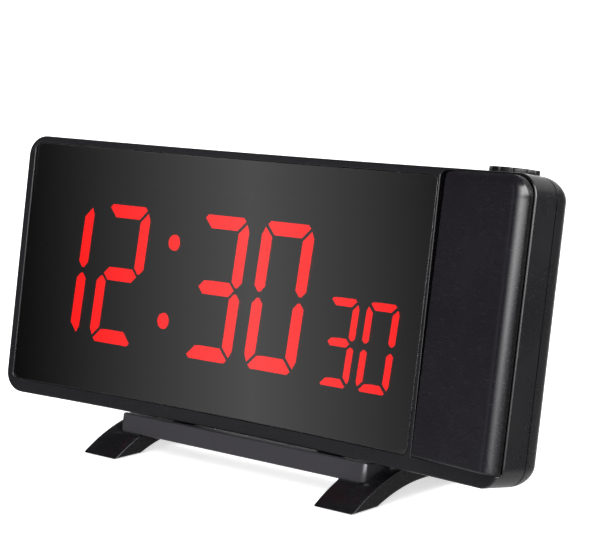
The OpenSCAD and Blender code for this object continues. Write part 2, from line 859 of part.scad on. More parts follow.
module buzzer() {
    color([0.08, 0.08, 0.09]) lean() difference() {
        pin(0, jack_z, board_back, back_in - 0.6, buzzer_d);
        pin(0, jack_z, back_in - 2, back_in, 2);
    }
}

module power_jack() {
    color([0.12, 0.12, 0.13]) lean() {
        difference() {
            box(jack_x - jack_w / 2, jack_x + jack_w / 2, board_back, back_in - fit,
                jack_z - jack_w / 2, jack_z + jack_w / 2);
            pin(jack_x, jack_z, board_back + 1, back_in, jack_d);
        }
    }
}

module jack_pin() {
    color([0.8, 0.7, 0.4]) lean() pin(jack_x, jack_z, board_back + 1, back_in - 1.4, 1.7);
}

module dimmer_switch() {
    color(steel) lean() difference() {
        box(dimmer_x - 5.5, dimmer_x + 5.5, board_back, board_back + 4, jack_z - 3, jack_z + 3);
        box(dimmer_x - 1.2 - dimmer_travel - 0.3, dimmer_x + 1.2 + dimmer_travel + 0.3,
            board_back + 1.2, board_back + 4 + cut, jack_z - 1.3, jack_z + 1.3);
    }
}

module dimmer_knob() {
    color([0.1, 0.1, 0.11]) lean() {
        box(dimmer_x - 1.2, dimmer_x + 1.2, board_back + 1.5, back_in + 0.4, jack_z - 1.1, jack_z + 1.1);
        difference() {
            box(dimmer_x - 1.5, dimmer_x + 1.5, back_in + 0.4, case_d + 0.6, jack_z - 1.5,
                jack_z + 1.5);
            for (x = [-0.9, 0, 0.9])
                box(dimmer_x + x - 0.2, dimmer_x + x + 0.2, case_d + 0.3, case_d + cut, jack_z - 2,
                    jack_z + 2);
        }
    }
}

module battery_contacts() {
    color([0.8, 0.75, 0.6]) lean() {
        // lower contact, flat under the cell
        box(door_x - 6, door_x + 6, bay_floor, bay_floor + contact_t, door_z - 2, door_z + 2);
        // side contact, standing at the edge of the cell
        box(door_x - 1.5, door_x + 1.5, bay_floor + contact_t, bay_floor + 3, door_z + bay_r - 0.45,
            door_z + bay_r - 0.15);
        box(door_x - 1.5, door_x + 1.5, bay_floor, bay_floor + contact_t, door_z + 4,
            door_z + bay_r - 0.15);
    }
}

module coin_cell() {
    color(steel) lean() {
        pin(door_x, door_z, cell_y, cell_y + cell_t * 0.25, cell_d - 2);
        pin(door_x, door_z, cell_y + cell_t * 0.25, cell_y + cell_t, cell_d);
    }
}

module battery_door() {
    color(case_black) lean() difference() {
        depth(back_in - 0.3, case_d)
            round_rect(door_x - door_w / 2 + fit, door_x + door_w / 2 - fit,
                door_z - door_h / 2 + fit, door_z + door_h / 2 - fit, 1.9);
        // finger grip
        for (z = [0:1.6:4.8])
            box(door_x - 5, door_x + 5, case_d - 0.5, case_d + cut,
                door_z + door_h / 2 - 9 + z, door_z + door_h / 2 - 8.2 + z);
    }
}

// ---- projector ----

// The projector block's outer shape, pulled in by inset on every side
module cover_shape(inset) {
    x1 = end_x - rim_t - cover_gap - inset;
    z1 = case_h - rim_t - cover_gap - inset;
    r = cover_r;
    centre = [x1 - r, inset + r - cover_proud];
    intersection() {
        // plan: a flat face turned towards the display, rounded into the right side
        translate([centre[0], centre[1], 0]) linear_extrude(case_h) union() {
            intersection() {
                rotate(-cover_turn) translate([-case_w, -r]) square([case_w, case_w]);
                translate([-case_w, -case_w]) square([case_w, 2 * case_w]);
            }
            circle(r = r);
            square([r, case_d]);
        }
        // side view: the face is rounded into the top along its whole length
        translate([centre[0], centre[1], 0]) rotate([0, 0, -cover_turn]) across(-case_w, case_w)
            union() {
                translate([-r, 0]) square([case_w, z1 - r]);
                square([case_w, z1]);
                translate([0, z1 - r]) circle(r = r);
            }
        // front view
        depth(-20, case_d) intersection() {
            round_rect(0, x1, -case_h, z1, corner_r - rim_t);
            polygon([[seam_x + seam_low / 2 + inset, cover_low + inset],
                [end_x, cover_low + inset], [end_x, case_h],
                [seam_x + seam_high / 2 + inset, case_h]]);
        }
    }
}

module projector_cover() {
    color([0.13, 0.12, 0.14]) lean() intersection() {
        before_rim(rebate_d);
        difference() {
            cover_shape(0);
            cover_shape(cover_wall);
        }
    }
}

module projector_tube() {
    color([0.09, 0.09, 0.1]) lean() difference() {
        union() {
            post(lens_x, lens_y, tube_low, tube_top, tube_d);
            difference() {
                for (z = tube_screw_z)
                    box(ear_screw_x - ear_half_w, lens_x, tube_ear_y, tube_ear_y + ear_t, z - ear_half_h,
                        z + ear_half_h);
                post(lens_x, lens_y, tube_low, tube_top, tube_d - 1);
            }
        }
        post(lens_x, lens_y, tube_low - cut, condenser_z - 1, condenser_d - 1);
        post(lens_x, lens_y, condenser_z - 1, condenser_z - 1 + condenser_room,
            condenser_d + 2 * fit);
        post(lens_x, lens_y, condenser_z - 1 + condenser_room - cut, barrel_low - 2,
            condenser_bore);
        // slot of the shutter glass
        box(lens_x - glass_w / 2 - 0.05, lens_x + glass_w / 2 + 0.05, lens_y - tube_d,
            lens_y + glass_w / 2 + 0.05, glass_z - 0.05, glass_z + 1.15);
        post(lens_x, lens_y, barrel_low - 2 - cut, skirt_low - 0.5, ring_bore);
        post(lens_x, lens_y, skirt_low - 0.5, tube_top + cut, ring_skirt_d + 2 * run_fit);
        // keyway of the lens barrel
        box(lens_x - key_rib / 2 - run_fit, lens_x + key_rib / 2 + run_fit, lens_y,
            lens_y + ring_bore / 2 + 1, barrel_low - 2, skirt_low);
        for (z = tube_screw_z)
            pin(ear_screw_x, z, tube_ear_y - cut, tube_ear_y + ear_t + cut, board_screw_d + 0.2);
    }
}

module projector_board() {
    color(board_green) lean()
        box(lens_x - 7, lens_x + 7, lens_y - 7, lens_y + 7, led_board_z, led_board_z + board_t);
}

module projector_led() {
    color([0.95, 0.9, 0.75]) lean() {
        box(lens_x - 2, lens_x + 2, lens_y - 2, lens_y + 2, tube_low, tube_low + 1.2);
        translate([lens_x, lens_y, tube_low + 1.2]) intersection() {
            sphere(r = 1.7);
            box(-3, 3, -3, 3, 0, 3);
        }
    }
}

// A lens with a straight rim and a dome; its foot lies at z
module domed_lens(z, rim_d, dome_d, dome_r, dome_h) {
    translate([lens_x, lens_y, z]) {
        cylinder(d = rim_d, h = lens_rim_t);
        intersection() {
            translate([0, 0, lens_rim_t + dome_h - dome_r]) sphere(r = dome_r);
            translate([0, 0, lens_rim_t]) cylinder(d = dome_d, h = 2 * dome_h);
        }
    }
}

module condenser_lens() {
    color([0.8, 0.85, 0.9]) lean()
        domed_lens(condenser_z - 1, condenser_d, condenser_bore - 0.2, condenser_dome_r,
            condenser_dome_h);
}

module shutter_glass() {
    color([0.3, 0.35, 0.4]) lean()
        box(lens_x - glass_w / 2, lens_x + glass_w / 2, lens_y - glass_w / 2, lens_y + glass_w / 2,
            glass_z, glass_z + 1.1);
}

module lens_barrel() {
    color([0.07, 0.07, 0.08]) lean() {
        difference() {
            post(lens_x, lens_y, barrel_low, barrel_top, barrel_d);
            post(lens_x, lens_y, barrel_low - cut, barrel_top - lens_sink, lens_d - 1);
            post(lens_x, lens_y, barrel_top - lens_sink, barrel_top + cut, lens_d);
        }
        box(lens_x - key_rib / 2, lens_x + key_rib / 2, lens_y + barrel_d / 2 - 0.3,
            lens_y + ring_bore / 2 + 0.7, barrel_low + 1, skirt_low - 1 - focus_travel);
    }
}

module projection_lens() {
    color([0.75, 0.82, 0.9]) lean()
        domed_lens(barrel_top - lens_sink, lens_d - 2 * run_fit, lens_d - 2 * run_fit,
            lens_dome_r, lens_dome_h);
}

module focus_ring() {
    color([0.1, 0.1, 0.11]) lean() difference() {
        union() {
            post(lens_x, lens_y, case_h + 0.15, case_h + ring_h, ring_d);
            post(lens_x, lens_y, skirt_low, case_h + 0.5, ring_skirt_d);
        }
        post(lens_x, lens_y, skirt_low - cut, case_h + ring_h + cut, ring_bore);
        // finger notches round the rim
        for (turn = [0:30:330])
            translate([lens_x + ring_d / 2 * cos(turn) , lens_y + ring_d / 2 * sin(turn),
                    case_h + 0.15 - cut])
                cylinder(d = 1, h = ring_h + 2 * cut);
    }
}

module projector_ribbon() {
    color([0.85, 0.85, 0.82]) lean() {
        box(board_r - 7, lens_x - 7, board_back + 2, board_back + 2.3, led_board_z - 2.6,
            led_board_z + 2.4);
        box(lens_x - 7.3, lens_x - 7, lens_y - 2, board_back + 2.3, led_board_z - 2.6,
            led_board_z + 1.2);
        box(board_r - 9, board_r - 3, board_back, board_back + 2, led_board_z - 3.2,
            led_board_z + 3);
    }
}

module projector_screws() {
    color(steel) lean() for (z = tube_screw_z) {
        pin(ear_screw_x, z, tube_ear_y, tube_ear_y + tube_screw_len, board_screw_d - 0.1);
        pin(ear_screw_x, z, tube_ear_y - board_head_t, tube_ear_y, board_head_d);
    }
}

// ---- stand ----

// The bar is level below and lies along the case above
module bar_shape(grow) {
    rise = bar_d * tan(lean_angle);
    intersection() {
        across(-case_w / 2, case_w / 2)
            polygon([[bar_y - grow, bar_top], [bar_y - grow, bar_low - grow],
                [bar_back + grow, bar_low + rise - grow], [bar_back + grow, bar_top]]);
        translate([0, 0, bar_low - cut]) linear_extrude(bar_h + 2 * cut) union() {
            x = bar_len / 2 + grow;
            translate([-x + bar_corner, bar_y - grow])
                square([2 * (x - bar_corner), bar_d + 2 * grow]);
            translate([-x, bar_y - grow + bar_corner])
                square([2 * x, bar_d + 2 * grow - 2 * bar_corner]);
            for (side = [-1, 1])
                for (y = [bar_y - grow + bar_corner, bar_back + grow - bar_corner])
                    translate([side * (x - bar_corner), y]) circle(r = bar_corner);
        }
    }
}

module stand_bar() {
    color([0.16, 0.15, 0.17]) difference() {
        lean() difference() {
            union() {
                bar_shape(0);
                for (at = stand_screw_at) post(at[0], at[1], bar_top - 0.5, 0, 9);
            }
            for (at = stand_screw_at) {
                post(at[0], at[1], bar_low - cut, cut, screw_d + 0.4);
                post(at[0], at[1], bar_low - cut, stand_seat, head_hole_d);
            }
        }
        for (side = [-1, 1])
            post(side * foot_screw_x, foot_screw_y, bar_floor - cut,
                foot_seat + foot_screw_len + 0.5, screw_d);
    }
}

module stand_screws() {
    color(steel) lean() for (at = stand_screw_at) {
        post(at[0], at[1], stand_seat, stand_screw_top, screw_d - 0.1);
        post(at[0], at[1], stand_seat - 1, stand_seat, screw_head_d);
    }
}

module foot_outline() {
    difference() {
        intersection() {
            translate([0, foot_h - foot_top_r]) circle(r = foot_top_r, $fn = 360);
            translate([-foot_len / 2, pad_proud]) square([foot_len, foot_h]);
        }
        translate([0, arch_h - arch_r]) circle(r = arch_r, $fn = 360);
    }
}

module foot(side) {
    color([0.12, 0.12, 0.13]) difference() {
        across(side > 0 ? foot_x : -foot_x - foot_w, side > 0 ? foot_x + foot_w : -foot_x)
            foot_outline();
        lean() {
            bar_shape(fit);
        }
        post(side * foot_screw_x, foot_screw_y, 0, stand_h, screw_d + 0.4);
        post(side * foot_screw_x, foot_screw_y, -cut, foot_seat, head_hole_d);
        for (end = [-1, 1]) pad_box(side, end, fit);
    }
}

module left_foot() { foot(-1); }
module right_foot() { foot(1); }

module foot_screws() {
    color(steel) for (side = [-1, 1]) {
        post(side * foot_screw_x, foot_screw_y, foot_seat, foot_seat + foot_screw_len, screw_d - 0.1);
        post(side * foot_screw_x, foot_screw_y, foot_seat - 1, foot_seat, screw_head_d);
    }
}

module pad_box(side, end, grow) {
    x = side * (foot_x + foot_w / 2);
    y = end * (foot_len / 2 - 2.6 - pad_len / 2);
    box(x - foot_w / 2 + 2 - grow, x + foot_w / 2 - 2 + grow, y - pad_len / 2 - grow,
        y + pad_len / 2 + grow, grow > 0 ? -cut : 0, pad_t);
}

module foot_pads() {
    color([0.1, 0.1, 0.1])
        for (side = [-1, 1]) for (end = [-1, 1]) pad_box(side, end, 0);
}

front_shell();
mirror_panel();
light_mask();
lit_segments();
unlit_segments();
main_board();
segment_leds();
control_chip();
clock_crystal();
capacitor();
tact_switches();
buzzer();
power_jack();
jack_pin();
dimmer_switch();
dimmer_knob();
battery_contacts();
coin_cell();
battery_door();
snooze_key();
set_key();
alarm_key();
up_key();
down_key();
projector_key();
rear_cover();
projector_cover();
projector_tube();
projector_board();
projector_led();
condenser_lens();
shutter_glass();
lens_barrel();
projection_lens();
focus_ring();
projector_ribbon();
case_screws();
board_screws();
projector_screws();
stand_bar();
left_foot();
right_foot();
stand_screws();
foot_screws();
foot_pads();
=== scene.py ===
import math

import bmesh
import bpy
import numpy as np
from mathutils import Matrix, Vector


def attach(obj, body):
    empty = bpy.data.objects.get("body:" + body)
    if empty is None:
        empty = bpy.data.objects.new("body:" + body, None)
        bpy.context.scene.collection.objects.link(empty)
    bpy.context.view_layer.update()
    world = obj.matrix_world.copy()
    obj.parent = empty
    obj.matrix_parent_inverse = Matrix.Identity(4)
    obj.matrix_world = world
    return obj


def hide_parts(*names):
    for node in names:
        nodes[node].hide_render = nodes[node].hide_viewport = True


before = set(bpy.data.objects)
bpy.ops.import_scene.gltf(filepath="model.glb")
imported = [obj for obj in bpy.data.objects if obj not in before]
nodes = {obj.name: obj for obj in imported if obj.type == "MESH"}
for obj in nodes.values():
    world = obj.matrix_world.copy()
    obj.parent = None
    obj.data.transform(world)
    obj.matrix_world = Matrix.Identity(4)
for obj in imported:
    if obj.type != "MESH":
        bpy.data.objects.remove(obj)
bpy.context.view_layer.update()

mm = 0.001
print("frame loaded:", len(nodes), "nodes")

# The leaning case, in millimetres and degrees. Its own directions are across, back from the front
# ends of its hollow face, and up from its lower edge.
caseSize = {
    "lean": 9.5,
    "frontY": -27.2,     # where the lower front edge stands
    "lowZ": 13.5,
    "halfWidth": 100,
    "height": 85,
    "faceSag": 9,        # how deep the face is hollowed in the middle
    "cornerRadius": 6.5,
    "seamX": 67,         # where the display ends and the projector cover begins
    "rimDepth": 2.5,     # depth of the straight rim behind the cover, at its right end
}
meshCare = {
    "mergeWithin": 0.002,   # millimetres between points that are one
    "flatAngle": 0.25,      # degrees between faces that are one
}


def toWorld(points):
    # turns case millimetres (across, back, up) into metres in the model's frame
    points = np.asarray(points, float)
    lean = math.radians(caseSize["lean"])
    x, back, up = points[..., 0], points[..., 1], points[..., 2]
    y = caseSize["frontY"] + back * math.cos(lean) + up * math.sin(lean)
    z = caseSize["lowZ"] - back * math.sin(lean) + up * math.cos(lean)
    return np.stack([x, y, z], -1) * mm


def toCase(points):
    # the other way round: metres in the model's frame into case millimetres
    lean = math.radians(caseSize["lean"])
    x, y, z = np.moveaxis(np.asarray(points, float) / mm, -1, 0)
    y, z = y - caseSize["frontY"], z - caseSize["lowZ"]
    return np.stack([x, y * math.cos(lean) - z * math.sin(lean),
                     y * math.sin(lean) + z * math.cos(lean)], -1)


def faceDepth(x):
    # the hollow face is part of an upright cylinder: its depth is the sag less the circle's rise
    sag, half = caseSize["faceSag"], caseSize["halfWidth"]
    radius = (half * half + sag * sag) / (2 * sag)
    return sag - radius + np.sqrt(radius * radius - np.square(x))


def rimSlope():
    # what the straight rim beside the cover gains in depth for each millimetre towards the display
    seamDepth = float(faceDepth(caseSize["seamX"]))
    return (seamDepth - caseSize["rimDepth"]) / (caseSize["halfWidth"] - caseSize["seamX"])


def joinDoubles(work):
    # points that lie together become one
    bmesh.ops.remove_doubles(work, verts=work.verts, dist=meshCare["mergeWithin"] * mm)


def mergedCopy(name):
    # a copy of a solid's mesh, its loose triangles joined and its flat parts made whole faces
    mesh = nodes[name].data.copy()
    work = bmesh.new()
    work.from_mesh(mesh)
    joinDoubles(work)
    bmesh.ops.dissolve_limit(work, angle_limit=math.radians(meshCare["flatAngle"]), verts=work.verts,
                             edges=work.edges, use_dissolve_boundaries=False)
    return mesh, work


def putBack(name, mesh, work):
    # the worked faces go into the mesh, and the mesh into a new object
    work.to_mesh(mesh)
    work.free()
    mesh.name = name
    piece = bpy.data.objects.new(name, mesh)
    bpy.context.scene.collection.objects.link(piece)
    return piece


def gridFaces(rows, cols, closed):
    # one four-sided face between each pair of neighbouring rows and columns, as whole index arrays;
    # a closed grid also joins its last column to its first
    row, col = np.meshgrid(np.arange(rows - 1), np.arange(cols if closed else cols - 1), indexing="ij")
    here, there = row * cols, (row + 1) * cols
    after = (col + 1) % cols
    quads = np.stack([here + col, here + after, there + after, there + col], -1)
    return quads.reshape(-1, 4).tolist()


def shadeSmooth(mesh, sharpFrom):
    # smooth shading that stops at edges sharper than the angle
    mesh.shade_smooth()
    mesh.set_sharp_from_angle(angle=math.radians(sharpFrom))


def surfaceObject(name, grid, material, sharpFrom):
    # a grid of loops becomes one closed mesh: each loop is closed, and a face caps each end
    rows, cols = grid.shape[:2]
    faces = gridFaces(rows, cols, True)
    faces.append(list(range(cols - 1, -1, -1)))
    faces.append(list(range((rows - 1) * cols, rows * cols)))
    mesh = bpy.data.meshes.new(name)
    mesh.from_pydata(grid.reshape(-1, 3).tolist(), [], faces)
    work = bmesh.new()
    work.from_mesh(mesh)
    joinDoubles(work)
    bmesh.ops.recalc_face_normals(work, faces=work.faces)
    piece = putBack(name, mesh, work)
    shadeSmooth(mesh, sharpFrom)
    mesh.materials.append(material)
    return piece


def settle(piece, body, stoodFor):
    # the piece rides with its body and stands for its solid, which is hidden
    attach(piece, body)
    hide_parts(stoodFor)
    return piece


def newGroup(name, inputs, outputs):
    # an empty shader node group with its named sockets, and the nodes at its two ends
    group = bpy.data.node_groups.new(name, "ShaderNodeTree")
    for label, kind, value in inputs:
        socket = group.interface.new_socket(name=label, in_out="INPUT", socket_type=kind)
        if value is not None:
            socket.default_value = value
    for label in outputs:
        group.interface.new_socket(name=label, in_out="OUTPUT", socket_type="NodeSocketFloat")
    return group, group.nodes.new("NodeGroupInput"), group.nodes.new("NodeGroupOutput")


def addMath(tree, operation, first, second):
    # each of the two values is a number or another node's output
    node = tree.nodes.new("ShaderNodeMath")
    node.operation = operation
    for socket, value in zip(node.inputs, (first, second)):
        if isinstance(value, (int, float)):
            socket.default_value = value
        else:
            tree.links.new(value, socket)
    return node.outputs[0]


def addRange(tree, value, low, high, toLow, toHigh):
    # the value's way from low to high becomes a way from toLow to toHigh, held at both ends
    node = tree.nodes.new("ShaderNodeMapRange")
    tree.links.new(value, node.inputs["Value"])
    for label, number in (("From Min", low), ("From Max", high), ("To Min", toLow), ("To Max", toHigh)):
        node.inputs[label].default_value = number
    return node.outputs["Result"]


def addNoise(tree, vector, scale, detail=3.0, roughness=0.5):
    # the scale is a number or another node's output
    node = tree.nodes.new("ShaderNodeTexNoise")
    tree.links.new(vector, node.inputs["Vector"])
    if isinstance(scale, (int, float)):
        node.inputs["Scale"].default_value = scale
    else:
        tree.links.new(scale, node.inputs["Scale"])
    node.inputs["Detail"].default_value = detail
    node.inputs["Roughness"].default_value = roughness
    return node.outputs["Fac"]


grainLook = {"detail": 4.0, "roughness": 0.6, "mottleShare": 0.018}


def buildMouldGrain(look):
    # fine spark-eroded mould texture, and the slow mottling of gloss that goes with it
    group, given, out = newGroup(
        "mouldGrain",
        [("Position", "NodeSocketVector", None), ("Scale", "NodeSocketFloat", 2500.0)],
        ["Height", "Mottle"],
    )
    fine = addNoise(group, given.outputs["Position"], given.outputs["Scale"],
                    look["detail"], look["roughness"])
    slow = addMath(group, "MULTIPLY", given.outputs["Scale"], look["mottleShare"])
    coarse = addNoise(group, given.outputs["Position"], slow)
    group.links.new(fine, out.inputs["Height"])
    group.links.new(coarse, out.inputs["Mottle"])
    return group


wipeLook = {
    "strokes": ((0.5, 9.0), (-0.8, 12.0)),   # turn in radians, and how many times as long as wide
    "turnX": 0.2, "turnZ": 0.1, "spacing": 30.0, "noise": 4.0, "detail": 2.0, "peak": (0.62, 0.78),
}


def buildWipeMarks(look):
    # faint long marks left by wiping: noise stretched one way, kept only where it peaks
    group, given, out = newGroup(
        "wipeMarks",
        [("Position", "NodeSocketVector", None), ("Amount", "NodeSocketFloat", 0.3)],
        ["Mask"],
    )
    total = None
    for turn, stretch in look["strokes"]:
        across = look["spacing"] * stretch
        place = group.nodes.new("ShaderNodeMapping")
        place.inputs["Rotation"].default_value = (look["turnX"], turn, look["turnZ"])
        place.inputs["Scale"].default_value = (look["spacing"], across, across)
        group.links.new(given.outputs["Position"], place.inputs["Vector"])
        marks = addNoise(group, place.outputs["Vector"], look["noise"], look["detail"])
        marks = addRange(group, marks, *look["peak"], 0.0, 1.0)
        total = marks if total is None else addMath(group, "MAXIMUM", total, marks)
    group.links.new(addMath(group, "MULTIPLY", total, given.outputs["Amount"]), out.inputs["Mask"])
    return group


dustLook = {
    "specks": 700.0, "speckEdge": (0.05, 0.16),
    "patches": 160.0, "detail": 2.0, "patchEdge": (0.52, 0.7),
    "upFrom": (0.2, 0.95), "downShare": 0.15,   # a face that looks down keeps this share
}


def buildSettledDust(look):
    # sparse specks, thickest where the surface looks up
    group, given, out = newGroup(
        "settledDust",
        [("Position", "NodeSocketVector", None), ("Amount", "NodeSocketFloat", 0.2)],
        ["Mask"],
    )
    specks = group.nodes.new("ShaderNodeTexVoronoi")
    specks.inputs["Scale"].default_value = look["specks"]
    group.links.new(given.outputs["Position"], specks.inputs["Vector"])
    dots = addRange(group, specks.outputs["Distance"], *look["speckEdge"], 1.0, 0.0)
    patches = addNoise(group, given.outputs["Position"], look["patches"], look["detail"])
    patches = addRange(group, patches, *look["patchEdge"], 0.0, 1.0)
    facing = group.nodes.new("ShaderNodeNewGeometry")
    split = group.nodes.new("ShaderNodeSeparateXYZ")
    group.links.new(facing.outputs["Normal"], split.inputs["Vector"])
    upward = addRange(group, split.outputs["Z"], *look["upFrom"], look["downShare"], 1.0)
    shown = addMath(group, "MULTIPLY", addMath(group, "MULTIPLY", dots, patches), upward)
    group.links.new(addMath(group, "MULTIPLY", shown, given.outputs["Amount"]), out.inputs["Mask"])
    return group


mouldGrain = buildMouldGrain(grainLook)
wipeMarks = buildWipeMarks(wipeLook)
settledDust = buildSettledDust(dustLook)
print("shared effects made")

finishCare = {   # what all the plastics and metals share
    "plasticIor": 1.5, "marks": 0.15, "dust": 0.08, "dustTone": (0.35, 0.34, 0.33),
    # paintedShadeTone: the near-black of the painted shade in the gap beside the projector cover
    "paintedShadeTone": (0.0005, 0.0005, 0.0006), "mottleSpread": (0.3, 0.7),
    "bumpHeight": 0.1,   # millimetres
}


def startMaterial(name, constants):
    # a fresh material with its shader's constant sockets set, and the piece's own coordinates
    material = bpy.data.materials.new(name)
    material.use_nodes = True
    tree = material.node_tree
    shader = tree.nodes["Principled BSDF"]
    for label, value in constants.items():
        shader.inputs[label].default_value = value
    place = tree.nodes.new("ShaderNodeTexCoord").outputs["Object"]
    return material, tree, shader, place


def placeGroup(tree, group, place, **values):
    # a shared effect in this material, with its own values
    node = tree.nodes.new("ShaderNodeGroup")
    node.node_tree = group
    tree.links.new(place, node.inputs["Position"])
    for label, value in values.items():
        node.inputs[label].default_value = value
    return node


def mixColours(tree, share, first, second):
    # the first colour where the share is none, the second where it is full
    node = tree.nodes.new("ShaderNodeMix")
    node.data_type = "RGBA"
    tree.links.new(share, node.inputs["Factor"])
    # the colours are this node's sockets 6 and 7, and their mixture is its output 2
    for socket, value in ((node.inputs[6], first), (node.inputs[7], second)):
        if isinstance(value, tuple):
            socket.default_value = (*value, 1.0)
        else:
            tree.links.new(value, socket)
    return node.outputs[2]


def addBump(tree, shader, height, depth):
    # the height shows as relief in the shading
    bump = tree.nodes.new("ShaderNodeBump")
    bump.inputs["Strength"].default_value = depth
    bump.inputs["Distance"].default_value = finishCare["bumpHeight"] * mm
    tree.links.new(height, bump.inputs["Height"])
    tree.links.new(bump.outputs["Normal"], shader.inputs["Normal"])


def nearRim(tree, place, reach):
    # rises from none to full as the piece sinks towards the plane of the rim at its right, and places
    # the painted shade in the cover's gap:
    # the plane holds the case's upright direction and slopes back towards the display
    lean, slope = math.radians(caseSize["lean"]), rimSlope()
    back = tree.nodes.new("ShaderNodeVectorMath")
    back.operation = "DOT_PRODUCT"
    tree.links.new(place, back.inputs[0])
    back.inputs[1].default_value = (slope, math.cos(lean), -math.sin(lean))
    # the value of the same product on the rim's right end
    level = (slope * caseSize["halfWidth"] + caseSize["frontY"] * math.cos(lean)
             - caseSize["lowZ"] * math.sin(lean) + caseSize["rimDepth"]) * mm
    none, full, left, right = (value * mm for value in reach)
    sunk = addRange(tree, back.outputs["Value"], level - none, level - full, 0.0, 1.0)
    split = tree.nodes.new("ShaderNodeSeparateXYZ")
    tree.links.new(place, split.inputs["Vector"])
    atRight = addRange(tree, split.outputs["X"], left, right, 0.0, 1.0)
    return addMath(tree, "MULTIPLY", sunk, atRight)


def addGloss(tree, grain, roughness):
    # the gloss varies between two values with the mottling
    return addRange(tree, grain.outputs["Mottle"], *finishCare["mottleSpread"], *roughness)


def mouldedPlastic(name, look):
    # moulded plastic: two close tones mottled together, gloss that varies with them, wipe marks,
    # a little dust and the mould's grain, and, where the look asks for it, painted shade in the gap by
    # the rim
    ior = look.get("ior", finishCare["plasticIor"])
    material, tree, shader, place = startMaterial(name, {"IOR": ior})
    grain = placeGroup(tree, mouldGrain, place, Scale=look["grainScale"])
    marks = placeGroup(tree, wipeMarks, place, Amount=finishCare["marks"])
    dust = placeGroup(tree, settledDust, place, Amount=finishCare["dust"])
    tone = mixColours(tree, grain.outputs["Mottle"], look["dark"], look["light"])
    tone = mixColours(tree, dust.outputs["Mask"], tone, finishCare["dustTone"])
    # painted shade: the base colour turns near-black where the cover sinks towards the rim, standing in
    # for the shade in that gap
    if "rimShade" in look:
        tone = mixColours(tree, nearRim(tree, place, look["rimShade"]), tone, finishCare["paintedShadeTone"])
    tree.links.new(tone, shader.inputs["Base Color"])
    gloss = addMath(tree, "ADD", addGloss(tree, grain, look["roughness"]), marks.outputs["Mask"])
    gloss = addMath(tree, "ADD", gloss, dust.outputs["Mask"])
    tree.links.new(gloss, shader.inputs["Roughness"])
    addBump(tree, shader, grain.outputs["Height"], look["grainDepth"])
    return material


def machinedMetal(name, look):
    # plated metal: slight streaks along the piece, darker in patches, with a worn gloss
    material, tree, shader, place = startMaterial(name, {"Metallic": 1.0})
    grain = placeGroup(tree, mouldGrain, place, Scale=look["grainScale"])
    marks = placeGroup(tree, wipeMarks, place, Amount=look["marks"])
    tone = mixColours(tree, grain.outputs["Mottle"], look["dark"], look["light"])
    tree.links.new(tone, shader.inputs["Base Color"])
    gloss = addMath(tree, "ADD", addGloss(tree, grain, look["roughness"]), marks.outputs["Mask"])
    tree.links.new(gloss, shader.inputs["Roughness"])
    addBump(tree, shader, grain.outputs["Height"], look["grainDepth"])
    return material


def clearGlass(name, look):
    # clear or smoked glass: plain transmission, with faint wipe marks in its gloss
    material, tree, shader, place = startMaterial(
        name, {"Transmission Weight": 1.0, "IOR": look["ior"], "Metallic": 0.0})
    grain = placeGroup(tree, mouldGrain, place, Scale=look["grainScale"])
    marks = placeGroup(tree, wipeMarks, place, Amount=look["marks"])
    tone = mixColours(tree, grain.outputs["Mottle"], look["dark"], look["light"])
    tree.links.new(tone, shader.inputs["Base Color"])
    tree.links.new(addMath(tree, "ADD", marks.outputs["Mask"], look["roughness"]),
                   shader.inputs["Roughness"])
    return material


def glowingResin(name, look):
    # light-guide resin: it glows evenly, a little weaker in slow patches
    material, tree, shader, place = startMaterial(
        name, {"Emission Strength": look["strength"], "Roughness": look["roughness"]})
    grain = placeGroup(tree, mouldGrain, place, Scale=look["grainScale"])
    tone = mixColours(tree, grain.outputs["Mottle"], look["dark"], look["light"])
    tree.links.new(tone, shader.inputs["Base Color"])
    tree.links.new(tone, shader.inputs["Emission Color"])
    return material


def circuitBoard(name, look):
    # green solder mask over copper runs that show as paler straight lines
    material, tree, shader, place = startMaterial(name, {})
    runs = tree.nodes.new("ShaderNodeTexBrick")
    runs.inputs["Scale"].default_value = look["runScale"]
    runs.inputs["Mortar Size"].default_value = look["runWidth"]
    runs.inputs["Color1"].default_value = (*look["mask"], 1.0)
    runs.inputs["Color2"].default_value = (*look["maskDark"], 1.0)
    runs.inputs["Mortar"].default_value = (*look["run"], 1.0)
    turn = tree.nodes.new("ShaderNodeMapping")
    turn.inputs["Rotation"].default_value = (math.radians(90), 0.0, 0.0)
    tree.links.new(place, turn.inputs["Vector"])
    tree.links.new(turn.outputs["Vector"], runs.inputs["Vector"])
    tree.links.new(runs.outputs["Color"], shader.inputs["Base Color"])
    grain = placeGroup(tree, mouldGrain, place, Scale=look["grainScale"])
    tree.links.new(addGloss(tree, grain, look["roughness"]), shader.inputs["Roughness"])
    addBump(tree, shader, runs.outputs["Fac"], look["runHeight"])
    return material


